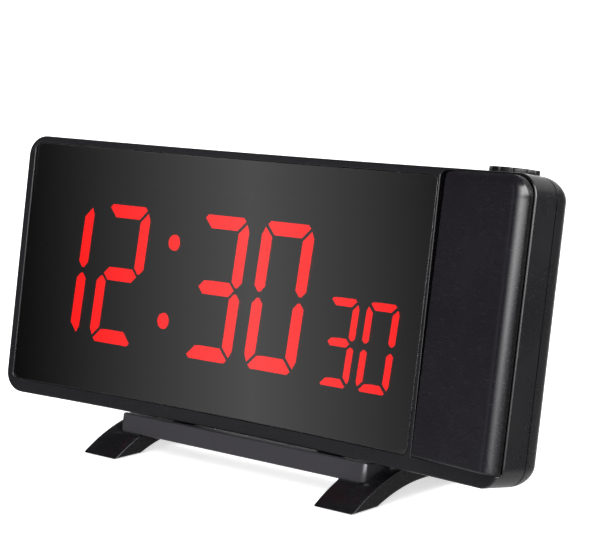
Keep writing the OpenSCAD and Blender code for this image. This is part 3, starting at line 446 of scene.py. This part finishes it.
plasticLooks = {
    "casePlastic": {"dark": (0.0048, 0.0042, 0.0057), "light": (0.0069, 0.0061, 0.0081),
                    "roughness": (0.24, 0.30), "grainScale": 2600.0, "grainDepth": 0.05},
    "coverPlastic": {"dark": (0.0070, 0.0062, 0.0083), "light": (0.0100, 0.0088, 0.0116),
                     "roughness": (0.22, 0.28), "grainScale": 2600.0, "grainDepth": 0.05,
                     # millimetres: how far proud of the rim, then how far across, the painted shade sets
                     # in
                     "rimShade": (2.3, 1.5, 93, 97)},
    # painted reflection: the stand bar's base tone is lifted several times above the feet's, standing in
    # for the pale floor mirrored on its front
    "standPlasticPaintedReflection": {"dark": (0.0215, 0.0199, 0.0241), "light": (0.0265, 0.0246, 0.0297),
                     "roughness": (0.30, 0.36), "ior": 1.6, "grainScale": 2200.0, "grainDepth": 0.09},
    "footPlastic": {"dark": (0.0042, 0.0038, 0.0050), "light": (0.0062, 0.0056, 0.0072),
                    "roughness": (0.24, 0.30), "grainScale": 2200.0, "grainDepth": 0.09},
    "keyPlastic": {"dark": (0.0180, 0.0175, 0.0190), "light": (0.0240, 0.0232, 0.0250),
                   "roughness": (0.30, 0.38), "grainScale": 3000.0, "grainDepth": 0.1},
    "projectorPlastic": {"dark": (0.0030, 0.0029, 0.0033), "light": (0.0050, 0.0048, 0.0054),
                         "roughness": (0.36, 0.44), "ior": 1.36, "grainScale": 3000.0,
                         "grainDepth": 0.08},
    "maskPlastic": {"dark": (0.0035, 0.0035, 0.0038), "light": (0.0055, 0.0055, 0.0060),
                    "roughness": (0.6, 0.75), "grainScale": 2400.0, "grainDepth": 0.1},
    "unlitResin": {"dark": (0.0060, 0.0030, 0.0030), "light": (0.0085, 0.0040, 0.0040),
                   "roughness": (0.45, 0.55), "grainScale": 1500.0, "grainDepth": 0.05},
    "ledResin": {"dark": (0.62, 0.55, 0.35), "light": (0.75, 0.68, 0.45),
                 "roughness": (0.3, 0.4), "grainScale": 2500.0, "grainDepth": 0.03},
    "chipResin": {"dark": (0.010, 0.010, 0.011), "light": (0.018, 0.018, 0.019),
                  "roughness": (0.5, 0.6), "grainScale": 4000.0, "grainDepth": 0.15},
    "capacitorSleeve": {"dark": (0.010, 0.015, 0.050), "light": (0.016, 0.022, 0.070),
                        "roughness": (0.3, 0.4), "grainScale": 2000.0, "grainDepth": 0.04},
    "switchPlastic": {"dark": (0.020, 0.020, 0.021), "light": (0.030, 0.030, 0.031),
                      "roughness": (0.45, 0.55), "grainScale": 3000.0, "grainDepth": 0.1},
    "ribbonFilm": {"dark": (0.60, 0.60, 0.57), "light": (0.72, 0.72, 0.69),
                   "roughness": (0.3, 0.4), "grainScale": 1500.0, "grainDepth": 0.03},
    "padRubber": {"dark": (0.012, 0.012, 0.012), "light": (0.020, 0.020, 0.020),
                  "roughness": (0.75, 0.9), "grainScale": 1800.0, "grainDepth": 0.2},
}

materials = {name: mouldedPlastic(name, look) for name, look in plasticLooks.items()}
materials["plainSteel"] = machinedMetal("plainSteel", {
    "dark": (0.42, 0.42, 0.43), "light": (0.56, 0.56, 0.57), "roughness": (0.25, 0.4),
    "grainScale": 3500.0, "grainDepth": 0.05, "marks": 0.2})
materials["contactBrass"] = machinedMetal("contactBrass", {
    "dark": (0.55, 0.42, 0.20), "light": (0.68, 0.53, 0.28), "roughness": (0.22, 0.35),
    "grainScale": 3500.0, "grainDepth": 0.04, "marks": 0.2})
materials["mirrorPanel"] = clearGlass("mirrorPanel", {
    "dark": (0.115, 0.113, 0.12), "light": (0.13, 0.128, 0.136), "ior": 1.95, "roughness": 0.0,
    "grainScale": 600.0, "marks": 0.0})
materials["lensGlass"] = clearGlass("lensGlass", {
    "dark": (0.82, 0.88, 0.95), "light": (0.88, 0.93, 0.98), "ior": 1.52, "roughness": 0.0,
    "grainScale": 800.0, "marks": 0.01})
materials["shutterGlass"] = clearGlass("shutterGlass", {
    "dark": (0.20, 0.23, 0.27), "light": (0.26, 0.29, 0.33), "ior": 1.52, "roughness": 0.02,
    "grainScale": 800.0, "marks": 0.02})
materials["litResin"] = glowingResin("litResin", {
    "dark": (0.94, 0.0, 0.0), "light": (1.0, 0.0, 0.0), "strength": 11.5, "roughness": 0.4,
    "grainScale": 900.0})
materials["circuitBoard"] = circuitBoard("circuitBoard", {
    "mask": (0.012, 0.075, 0.028), "maskDark": (0.010, 0.060, 0.022), "run": (0.03, 0.14, 0.05),
    "runScale": 260.0, "runWidth": 0.012, "runHeight": 0.3, "roughness": (0.3, 0.45),
    "grainScale": 1800.0})

# which finish each solid takes
finishOf = {
    "casePlastic": ["front_shell", "rear_cover", "battery_door"],
    "coverPlastic": ["projector_cover"],
    "mirrorPanel": ["mirror_panel"],
    "maskPlastic": ["light_mask"],
    "litResin": ["lit_segments"],
    "unlitResin": ["unlit_segments"],
    "circuitBoard": ["main_board", "projector_board"],
    "ledResin": ["segment_leds", "projector_led"],
    "chipResin": ["control_chip"],
    "plainSteel": ["clock_crystal", "dimmer_switch", "coin_cell", "case_screws", "board_screws",
                   "projector_screws", "stand_screws", "foot_screws"],
    "contactBrass": ["battery_contacts", "jack_pin"],
    "capacitorSleeve": ["capacitor"],
    "switchPlastic": ["tact_switches", "buzzer", "power_jack"],
    "keyPlastic": ["snooze_key", "set_key", "alarm_key", "up_key", "down_key", "projector_key",
                   "dimmer_knob"],
    "projectorPlastic": ["projector_tube", "lens_barrel", "focus_ring"],
    "lensGlass": ["condenser_lens", "projection_lens"],
    "shutterGlass": ["shutter_glass"],
    "ribbonFilm": ["projector_ribbon"],
    # the stand bar takes the lifted tone, a painted reflection of the floor
    "standPlasticPaintedReflection": ["stand_bar"],
    "footPlastic": ["left_foot", "right_foot"],
    "padRubber": ["foot_pads"],
}
for finish, names in finishOf.items():
    for name in names:
        for place in nodes[name].material_slots:
            place.material = materials[finish]
print("materials:", len(bpy.data.materials))

edgeWidths = {   # millimetres
    "rear_cover": 0.3, "battery_door": 0.2, "dimmer_knob": 0.12, "focus_ring": 0.2, "lens_barrel": 0.12,
    "stand_bar": 0.5, "left_foot": 0.4, "right_foot": 0.4, "foot_pads": 0.15, "power_jack": 0.15,
}
edgeFinish = {
    "mergeWithin": 0.001, "flatAngle": 0.3, "sharpFrom": 35,   # millimetres, then degrees
    "segments": 2,
    "unclamped": ["stand_bar", "left_foot", "right_foot"],     # short edges would thin the rounding
}


def softenEdges(name, width, finish):
    # joins the solid's loose triangles and rounds its sharp edges, as a mould does
    piece = nodes[name]
    weld = piece.modifiers.new("weld", "WELD")
    weld.merge_threshold = finish["mergeWithin"] * mm
    planes = piece.modifiers.new("planes", "DECIMATE")
    planes.decimate_type = "DISSOLVE"
    planes.angle_limit = math.radians(finish["flatAngle"])
    bevel = piece.modifiers.new("edges", "BEVEL")
    bevel.width = width * mm
    bevel.segments = finish["segments"]
    bevel.limit_method = "ANGLE"
    bevel.angle_limit = math.radians(finish["sharpFrom"])
    bevel.harden_normals = True
    bevel.use_clamp_overlap = name not in finish["unclamped"]


for name, width in edgeWidths.items():
    softenEdges(name, width, edgeFinish)
print("edges rounded:", len(edgeWidths), "pieces")

shellSize = {   # millimetres
    "outerWidth": 0.45, "innerWidth": 0.2, "thinWidth": 0.12,
    "within": 0.35,        # how far behind the front an edge may lie
    "nearOutline": 0.2, "thinRim": 1.2,
    "edgeSegments": 3,
    "sharpFrom": 35,       # degrees
}


def shellFront(x):
    # depth of the shell's front edge: the hollow face, and the straight rim beside the cover
    seam, end = caseSize["seamX"], caseSize["halfWidth"]
    rim = caseSize["rimDepth"] + rimSlope() * (end - x)
    return np.where(x > seam, rim, faceDepth(np.clip(x, -end, seam)))


def fromOutline(spots):
    # distance in from the case's outline, a rounded rectangle seen from the front
    half, radius = caseSize["halfWidth"], caseSize["cornerRadius"]
    side = half - np.abs(spots[:, 0])
    ends = np.minimum(spots[:, 2], caseSize["height"] - spots[:, 2])
    inSide, inEnds = np.clip(radius - side, 0, None), np.clip(radius - ends, 0, None)
    return np.where((inSide > 0) & (inEnds > 0), radius - np.hypot(inSide, inEnds),
                    np.minimum(side, ends))


def roundEdges(work, size, width, wanted):
    # rounds the sharp edges of the shell's front whose places satisfy the test
    spots = toCase([vert.co for vert in work.verts])
    take = (spots[:, 1] < shellFront(spots[:, 0]) + size["within"]) & wanted(spots, fromOutline(spots))
    work.verts.index_update()
    chosen = [edge for edge in work.edges
              if len(edge.link_faces) == 2 and take[edge.verts[0].index] and take[edge.verts[1].index]
              and edge.calc_face_angle(0.0) > math.radians(size["sharpFrom"])]
    bmesh.ops.bevel(work, geom=chosen, offset=width * mm, offset_type="OFFSET",
                    segments=size["edgeSegments"], profile=0.5, affect="EDGES", clamp_overlap=False,
                    material=-1)
    return len(chosen)


def buildFrontShell(size):
    # the solid's own faces, merged; every sharp edge of its front is rounded: the outline most,
    # the edges inside it less, and the thin rim beside the projector cover least
    mesh, work = mergedCopy("front_shell")
    near, thin, seam = size["nearOutline"], size["thinRim"], caseSize["seamX"]
    done = [roundEdges(work, size, size["outerWidth"], lambda spots, inward: inward < near)]
    done.append(roundEdges(work, size, size["thinWidth"], lambda spots, inward: (
        (inward > near) & (inward < thin) & (spots[:, 0] > seam))))
    done.append(roundEdges(work, size, size["innerWidth"], lambda spots, inward: (
        (inward > near) & ~((inward < thin) & (spots[:, 0] > seam)))))
    bmesh.ops.recalc_face_normals(work, faces=work.faces)
    shell = putBack("frontShell", mesh, work)
    shadeSmooth(mesh, size["sharpFrom"])
    even = shell.modifiers.new("even", "WEIGHTED_NORMAL")
    even.keep_sharp = True
    print("front shell made, edges rounded:", done)
    return settle(shell, "clock", "front_shell")


buildFrontShell(shellSize)

panelSize = {   # millimetres
    "left": -97.4, "right": 65.1, "low": 4.3, "top": 82.8, "back": 0.1, "thickness": 1.5,
    "cornerRadius": 1.9, "edgeRadius": 0.1,
    "stations": 150, "cornerSteps": 12, "edgeSteps": 5,
    "frontSteps": (0.4, 1.2, 3, 6, 9, 12),    # rows of points below the top edge
    "endSteps": (0.0, 0.08, 0.32, 0.64),      # shares of the edge's radius, in from each end
    "sharpFrom": 40,                          # degrees
}


def panelStations(size):
    # places along the panel: even in the middle, on a circle's cosine at the two corners, and close
    # together in the small rounding at the very ends
    corner = size["cornerRadius"]
    quarter = 1 - np.cos(np.linspace(0, math.pi / 2, size["cornerSteps"]))
    tiny = np.array(size["endSteps"]) * size["edgeRadius"]
    inset = np.unique(np.concatenate([tiny, quarter * corner]))
    middle = np.linspace(size["left"] + corner, size["right"] - corner, size["stations"])[1:-1]
    return np.concatenate([size["left"] + inset, middle, (size["right"] - inset)[::-1]])


def buildMirrorPanel(size):
    # a thin slab carried along the hollow face: each station is a slab section with rounded edges,
    # shorter in the corners by the corner circle and thinner at the ends by the edge circle
    x = panelStations(size)
    corner, edge = size["cornerRadius"], size["edgeRadius"]
    fromEnd = np.minimum(x - size["left"], size["right"] - x)
    dip = np.clip(corner - fromEnd, 0, corner)
    short = corner - np.sqrt(corner * corner - dip * dip)
    pinch = np.clip(edge - fromEnd, 0, edge)
    thin = edge - np.sqrt(edge * edge - pinch * pinch)
    low, top = size["low"] + short, size["top"] - short
    front = faceDepth(x) + size["back"] + thin
    rear = front + size["thickness"] - 2 * thin
    turn = np.linspace(0, math.pi / 2, size["edgeSteps"])
    steps = np.array(size["frontSteps"])
    # the loop: up the front, round the top edge, down the back, round the lower edge
    upTop = np.concatenate([-steps[::-1], edge * (np.sin(turn) - 1)])
    inTop = np.concatenate([np.zeros(len(steps)), edge * (1 - np.cos(turn))])
    up = np.concatenate([low[:, None] - upTop[::-1], top[:, None] + upTop], 1)
    into = np.concatenate([inTop[::-1], inTop])
    across = np.repeat(x[:, None], up.shape[1], 1)
    frontSide = np.stack([across, front[:, None] + into, up], -1)
    backSide = np.stack([across, rear[:, None] - into, up], -1)[:, ::-1]
    loops = toWorld(np.concatenate([frontSide, backSide], 1))
    panel = surfaceObject("mirrorPanel", loops, materials["mirrorPanel"], size["sharpFrom"])
    return settle(panel, "clock", "mirror_panel")


buildMirrorPanel(panelSize)
print("mirror panel made")

coverSize = {   # millimetres
    "left": 67.2, "leftTop": 68.2, "right": 99.25, "low": 4.35, "top": 84.25,
    "edgeRadius": 4.0, "seamRadius": 0.5, "proud": 1.9, "cornerRadius": 5.9, "rebate": 2.4,
    "seamCorner": 2.2, "lowCorner": 0.4,
    "headLift": 1.1,     # how much of the head's rounding is left off
    "gap": 1.2,          # the longest step between two points of the outline
    "turn": 13, "sharpFrom": 50,                          # degrees
    "cornerSteps": 24, "seamSteps": 14, "lowSteps": 6,
    "rings": 26, "edgeShare": 0.3, "innerRings": (0.5, 0.75, 0.97),   # shares of the way in
}


def arcPoints(centre, radius, start, end, count):
    # points on a circle from one angle to another, in degrees
    angle = np.radians(np.linspace(start, end, count))
    return np.asarray(centre) + radius * np.stack([np.cos(angle), np.sin(angle)], -1)


def coverOutline(size):
    # front view of the cover: a leaning left side, and round corners at the head and the right
    side = math.atan2(size["leftTop"] - size["left"], size["top"] - size["low"])
    lean = math.degrees(side)
    small, big, seam = size["lowCorner"], size["cornerRadius"], size["seamCorner"]
    return np.concatenate([
        arcPoints((size["right"] - big, size["top"] - big), big, 0, 90, size["cornerSteps"]),
        arcPoints((size["leftTop"] + seam, size["top"] - seam), seam, 90, 180 - lean, size["seamSteps"]),
        arcPoints((size["left"] + small, size["low"] + small), small, 180 - lean, 270, size["lowSteps"]),
        arcPoints((size["right"] - small, size["low"] + small), small, 270, 360, size["lowSteps"]),
    ])


def resample(spots, gap):
    # adds points on the straight runs, so that every step is at most gap long
    pieces = []
    for here, there in zip(spots, np.roll(spots, -1, 0)):
        count = max(1, int(np.linalg.norm(there - here) / gap))
        share = (np.arange(count) / count)[:, None]
        pieces.append(here * (1 - share) + there * share)
    return np.concatenate(pieces)


def coverFace(size, x):
    # depth of the cover's flat face: it is tangent to the rounding's circle and turned to the display
    turn = math.radians(size["turn"])
    radius = size["edgeRadius"]
    centreX, centreBack = size["right"] - radius, radius - size["proud"]
    return centreBack - (radius + (x - centreX) * math.sin(turn)) / math.cos(turn)


def rolledDown(distance, radius):
    # how far an edge rounding has sunk at a distance from the edge: a quarter of a circle
    reach = np.clip(radius - distance, 0, radius)
    return radius - np.sqrt(radius * radius - reach * reach)


def coverDepth(size, x, up):
    # the flat face, sunk by a large rounding along the right, a part of it along the head and a
    # small one along the seam and the foot; at the corner the distance is counted from its circle
    big = size["cornerRadius"]
    fromRight, fromTop = size["right"] - x, size["top"] - up
    cornerX, cornerUp = np.clip(big - fromRight, 0, None), np.clip(big - fromTop, 0, None)
    both = (cornerX > 0) & (cornerUp > 0)
    edge = np.where(both, big - np.hypot(cornerX, cornerUp), np.minimum(fromRight, fromTop))
    upShare = np.where(both, np.arctan2(cornerUp, cornerX) / (math.pi / 2), fromTop < fromRight)
    edge = edge + size["headLift"] * upShare
    share = (up - size["low"]) / (size["top"] - size["low"])
    seam = x - (size["left"] + (size["leftTop"] - size["left"]) * share)
    small = np.minimum(np.clip(seam, 0, None), np.clip(up - size["low"], 0, None))
    return (coverFace(size, x) + rolledDown(np.clip(edge, 0, None), size["edgeRadius"])
            + rolledDown(small, size["seamRadius"]))


def buildProjectorCover(size):
    # rings of the outline shrunk towards the middle, close together at the edge, each laid on the
    # face's formula; the outermost ring drops to the back edge, which follows the case's rim
    outline = resample(coverOutline(size), size["gap"])
    middle = np.array([(size["left"] + size["right"]) / 2, (size["low"] + size["top"]) / 2])
    near = np.linspace(0, 1, size["rings"]) ** 2 * size["edgeShare"]
    shrink = np.concatenate([near, size["innerRings"]])[::-1, None, None]
    ring = middle + (outline[None] - middle) * (1 - shrink)
    front = np.stack([ring[..., 0], coverDepth(size, ring[..., 0], ring[..., 1]), ring[..., 1]], -1)
    backEdge = (caseSize["rimDepth"] + rimSlope() * (caseSize["halfWidth"] - outline[:, 0])
                + size["rebate"])
    back = np.stack([outline[:, 0], backEdge, outline[:, 1]], -1)[None]
    loops = toWorld(np.concatenate([front, back]))
    cover = surfaceObject("projectorCover", loops, materials["coverPlastic"], size["sharpFrom"])
    return settle(cover, "clock", "projector_cover")


buildProjectorCover(coverSize)
print("projector cover made")

digitSize = {"shrink": 0.2}   # millimetres


def buildLitDigits(size):
    # the solids' own faces, merged, each moved in by the same small width, which widens the gaps
    mesh, work = mergedCopy("lit_segments")
    work.normal_update()
    moves = [vert.normal * vert.calc_shell_factor() * size["shrink"] * mm for vert in work.verts]
    for vert, move in zip(work.verts, moves):
        vert.co -= move
    digits = putBack("litDigits", mesh, work)
    # seen through the panel, they don't light the case's inside or show again as reflections
    digits.visible_diffuse = False
    digits.visible_glossy = False
    return settle(digits, "clock", "lit_segments")


buildLitDigits(digitSize)
print("lit digits made")

keySize = {   # millimetres
    "edgeWidth": 0.45, "dishDepth": 0.6, "dishWidth": 2.6,
    "edgeSegments": 4, "dishRings": 5,
    "sharpFrom": 35,   # degrees
}
keyNames = ["snooze_key", "set_key", "alarm_key", "up_key", "down_key", "projector_key"]


def capFace(work):
    # the flat face at the key's outer end
    return max(work.faces, key=lambda face: toCase(face.calc_center_median())[1])


def buildKey(name, size):
    # the solid's own faces, merged, with a rounded cap edge and a shallow dish for the finger:
    # rings stepped in across the cap, each sunk by its share of half a cosine wave
    mesh, work = mergedCopy(name)
    bmesh.ops.bevel(work, geom=list(capFace(work).edges), offset=size["edgeWidth"] * mm,
                    offset_type="OFFSET", segments=size["edgeSegments"], profile=0.5, affect="EDGES",
                    clamp_overlap=False, material=-1)
    step = size["dishWidth"] / size["dishRings"]
    sunk = size["dishDepth"] * (1 - np.cos(np.linspace(0, math.pi, size["dishRings"] + 1))) / 2
    cap = capFace(work)
    for drop in np.diff(sunk):
        # the cap keeps its place in the middle while a ring of new faces appears round it
        bmesh.ops.inset_region(work, faces=[cap], thickness=step * mm, depth=-drop * mm,
                               use_even_offset=True)
    bmesh.ops.recalc_face_normals(work, faces=work.faces)
    key = putBack(name + "Cap", mesh, work)
    shadeSmooth(mesh, size["sharpFrom"])
    return settle(key, name, name)


for name in keyNames:
    buildKey(name, keySize)
print("keys made")

cameraPlace = {
    "place": (385.78, -431.48, 145.33),   # millimetres
    "yaw": 41.8, "pitch": 10.47,          # degrees
    "focal": 1915.0,                      # pixels, as are the next two
    "centre": (283.0, 341.0), "image": (600.0, 534.0),
    "sensor": 36.0,                       # millimetres
    "clip": (0.01, 50.0),                 # metres
}


def buildCamera(plan):
    # it looks along its yaw and pitch; the lens is shifted to bring its axis to the given pixel
    data = bpy.data.cameras.new("camera")
    width, height = plan["image"]
    data.sensor_width = plan["sensor"]
    data.lens = plan["focal"] / width * data.sensor_width
    data.shift_x = (width / 2 - plan["centre"][0]) / width
    data.shift_y = (plan["centre"][1] - height / 2) / width
    camera = bpy.data.objects.new("camera", data)
    yaw, pitch = math.radians(plan["yaw"]), math.radians(plan["pitch"])
    back = Vector((math.sin(yaw) * math.cos(pitch), -math.cos(yaw) * math.cos(pitch), math.sin(pitch)))
    camera.location = Vector(plan["place"]) * mm
    camera.rotation_euler = back.to_track_quat("Z", "Y").to_euler()
    data.clip_start, data.clip_end = plan["clip"]
    bpy.context.scene.collection.objects.link(camera)
    bpy.context.scene.camera = camera


floorPlan = {
    "tone": (0.93, 0.93, 0.93), "mottle": 1.02, "grainScale": 400.0, "roughness": 0.9,
    "nearGlow": 0.62, "farGlow": 1.05,
    "half": 20.0, "nearReach": 0.5, "farReach": 1.6,    # metres, the last two from the clock
}


def buildFloor(plan):
    # a pale sweep that glows a little, so that it stays white far from the lamps
    tone, half = plan["tone"], plan["half"]
    mesh = bpy.data.meshes.new("floor")
    mesh.from_pydata([(-half, -half, 0), (half, -half, 0), (half, half, 0), (-half, half, 0)], [],
                     [(0, 1, 2, 3)])
    material, tree, shader, place = startMaterial(
        "floorPaint", {"Roughness": plan["roughness"], "Emission Strength": 1.0})
    grain = placeGroup(tree, mouldGrain, place, Scale=plan["grainScale"])
    shade = mixColours(tree, grain.outputs["Mottle"], tone, tuple(t * plan["mottle"] for t in tone))
    tree.links.new(shade, shader.inputs["Base Color"])
    reach = tree.nodes.new("ShaderNodeVectorMath")
    reach.operation = "LENGTH"
    tree.links.new(place, reach.inputs[0])
    glow = addRange(tree, reach.outputs["Value"], plan["nearReach"], plan["farReach"],
                    plan["nearGlow"], plan["farGlow"])
    tree.links.new(glow, shader.inputs["Emission Color"])
    mesh.materials.append(material)
    floor = bpy.data.objects.new("floor", mesh)
    floor.visible_glossy = False
    bpy.context.scene.collection.objects.link(floor)


roomPlan = {   # tones, and the shares of a direction between which each one fades
    "seenTone": 1.02,                                     # what the camera sees behind the clock
    "dimTone": 0.035,                                     # the room in front, as reflections see it
    "sideTone": 0.12, "sideFade": (-0.1, 0.5),            # the dimmer wall behind, to the right
    "wallTone": 1.7, "wallFade": (0.84, 0.97),            # the white wall behind, to the left
    "wallFrom": (-0.66, 0.75, 0.0),
    "groundTone": 0.5, "groundFade": (-0.5, -0.24),       # the pale table, looked down on
    "tableTone": 0.75, "tableFade": (-0.22, -0.04),       # the same, in front of the clock
    "frontFade": (-0.5, -0.1),
}


def buildWorld(plan):
    # the camera sees plain white; reflections see a dim room with a white wall behind to the left
    world = bpy.data.worlds.new("studio")
    bpy.context.scene.world = world
    world.use_nodes = True
    tree = world.node_tree
    shade = tree.nodes["Background"]
    direction = tree.nodes.new("ShaderNodeTexCoord").outputs["Generated"]
    split = tree.nodes.new("ShaderNodeSeparateXYZ")
    tree.links.new(direction, split.inputs["Vector"])
    side = addRange(tree, split.outputs["Y"], *plan["sideFade"], plan["dimTone"], plan["sideTone"])
    toWall = tree.nodes.new("ShaderNodeVectorMath")
    toWall.operation = "DOT_PRODUCT"
    tree.links.new(direction, toWall.inputs[0])
    toWall.inputs[1].default_value = plan["wallFrom"]
    wall = addRange(tree, toWall.outputs["Value"], *plan["wallFade"], 0.0, plan["wallTone"])
    ground = addRange(tree, split.outputs["Z"], *plan["groundFade"], plan["groundTone"], 0.0)
    table = addRange(tree, split.outputs["Z"], *plan["tableFade"], plan["tableTone"], 0.0)
    inFront = addRange(tree, split.outputs["Y"], *plan["frontFade"], 1.0, 0.0)
    table = addMath(tree, "MULTIPLY", table, inFront)
    tone = addMath(tree, "ADD", addMath(tree, "ADD", side, wall),
                   addMath(tree, "MAXIMUM", ground, table))
    path = tree.nodes.new("ShaderNodeLightPath")
    seen = tree.nodes.new("ShaderNodeMix")
    tree.links.new(path.outputs["Is Camera Ray"], seen.inputs[0])
    tree.links.new(tone, seen.inputs[2])
    seen.inputs[3].default_value = plan["seenTone"]
    tree.links.new(seen.outputs[0], shade.inputs["Color"])
    shade.inputs["Strength"].default_value = 1.0


softboxes = {   # degrees, metres and watts
    "ceilingFill": {"azimuth": 180, "elevation": 86, "distance": 1.5, "size": (1.8, 1.8), "power": 24},
    "frontFill": {"azimuth": 15, "elevation": 32, "distance": 1.6, "size": (1.5, 1.2), "power": 22},
    "backFill": {"azimuth": 165, "elevation": 35, "distance": 1.6, "size": (1.5, 1.2), "power": 10},
}
clockMiddle = (0, 0, 0.05)   # metres


def addSoftbox(name, plan):
    # a rectangular light that looks at the clock's middle; it only fills, and isn't mirrored
    data = bpy.data.lights.new(name, "AREA")
    data.shape = "RECTANGLE"
    data.energy = plan["power"]
    data.size, data.size_y = plan["size"]
    turn, rise = math.radians(plan["azimuth"]), math.radians(plan["elevation"])
    back = Vector((math.sin(turn) * math.cos(rise), -math.cos(turn) * math.cos(rise), math.sin(rise)))
    light = bpy.data.objects.new(name, data)
    light.visible_glossy = False
    light.location = Vector(clockMiddle) + back * plan["distance"]
    light.rotation_euler = back.to_track_quat("Z", "Y").to_euler()
    bpy.context.scene.collection.objects.link(light)


glowBands = {   # degrees and metres; "flat" is how far the full strength reaches to each side
    "mirrorBand": {"azimuth": -41.5, "halfSpan": 10, "flat": (0, 0), "power": 1.3, "strength": 0.66,
                   "lowZ": -0.1, "topZ": 0.8, "dimZ": -1.0, "fullZ": -0.9, "dimShare": 1.0},
    "rightBand": {"azimuth": 62, "halfSpan": 70, "flat": (14, 58), "power": 1.5, "strength": 10.5,
                  "lowZ": 0.08, "topZ": 1.8, "dimZ": 0.08, "fullZ": 0.42, "dimShare": 0.45},
    "backBand": {"azimuth": 180, "halfSpan": 60, "flat": (15, 15), "power": 1.0, "strength": 0.8,
                 "lowZ": 0.45, "topZ": 1.7, "dimZ": -1.0, "fullZ": -0.9, "dimShare": 1.0},
}
bandShape = {"radius": 1.5, "columns": 25, "rows": 3}


def buildGlow(name, plan):
    # light that falls off to both sides of the band's middle, and downwards
    material = bpy.data.materials.new(name)
    material.use_nodes = True
    tree = material.node_tree
    tree.nodes.clear()
    out = tree.nodes.new("ShaderNodeOutputMaterial")
    glow = tree.nodes.new("ShaderNodeEmission")
    clear = tree.nodes.new("ShaderNodeBsdfTransparent")
    both = tree.nodes.new("ShaderNodeMixShader")
    split = tree.nodes.new("ShaderNodeSeparateXYZ")
    tree.links.new(tree.nodes.new("ShaderNodeTexCoord").outputs["Object"], split.inputs["Vector"])
    ahead = addMath(tree, "MULTIPLY", split.outputs["Y"], -1.0)
    angle = addMath(tree, "ARCTAN2", split.outputs["X"], ahead)
    # the turn from the band's middle, kept between half a turn either way
    off = addMath(tree, "ADD", angle, math.pi - math.radians(plan["azimuth"]))
    off = addMath(tree, "SUBTRACT", addMath(tree, "FLOORED_MODULO", off, 2 * math.pi), math.pi)
    reach, (left, right) = math.radians(plan["halfSpan"]), plan["flat"]
    fade = addMath(tree, "MULTIPLY", addRange(tree, off, -reach, -math.radians(left), 0.0, 1.0),
                   addRange(tree, off, math.radians(right), reach, 1.0, 0.0))
    fade = addMath(tree, "POWER", fade, plan["power"])
    rise = addRange(tree, split.outputs["Z"], plan["dimZ"], plan["fullZ"], plan["dimShare"], 1.0)
    fade = addMath(tree, "MULTIPLY", fade, rise)
    glow.inputs["Strength"].default_value = plan["strength"]
    tree.links.new(fade, both.inputs["Fac"])
    tree.links.new(clear.outputs[0], both.inputs[1])
    tree.links.new(glow.outputs[0], both.inputs[2])
    tree.links.new(both.outputs[0], out.inputs["Surface"])
    return material


def addGlowBand(name, plan, shape):
    # an upright part of a cylinder round the clock that only reflections see
    radius, columns, rows = shape["radius"], shape["columns"], shape["rows"]
    turn = np.radians(plan["azimuth"] + np.linspace(-plan["halfSpan"], plan["halfSpan"], columns))
    height = np.linspace(plan["lowZ"], plan["topZ"], rows)
    turn, height = np.meshgrid(turn, height, indexing="ij")
    grid = np.stack([radius * np.sin(turn), -radius * np.cos(turn), height], -1)
    mesh = bpy.data.meshes.new(name)
    mesh.from_pydata(grid.reshape(-1, 3).tolist(), [], gridFaces(columns, rows, False))
    mesh.materials.append(buildGlow(name, plan))
    card = bpy.data.objects.new(name, mesh)
    card.visible_camera = False
    card.visible_shadow = False
    card.visible_diffuse = False
    card.visible_transmission = False
    bpy.context.scene.collection.objects.link(card)


buildCamera(cameraPlace)
buildFloor(floorPlan)
buildWorld(roomPlan)
for name, plan in softboxes.items():
    addSoftbox(name, plan)
for name, plan in glowBands.items():
    addGlowBand(name, plan, bandShape)
bpy.context.scene.view_settings.view_transform = "Standard"
print("studio ready")
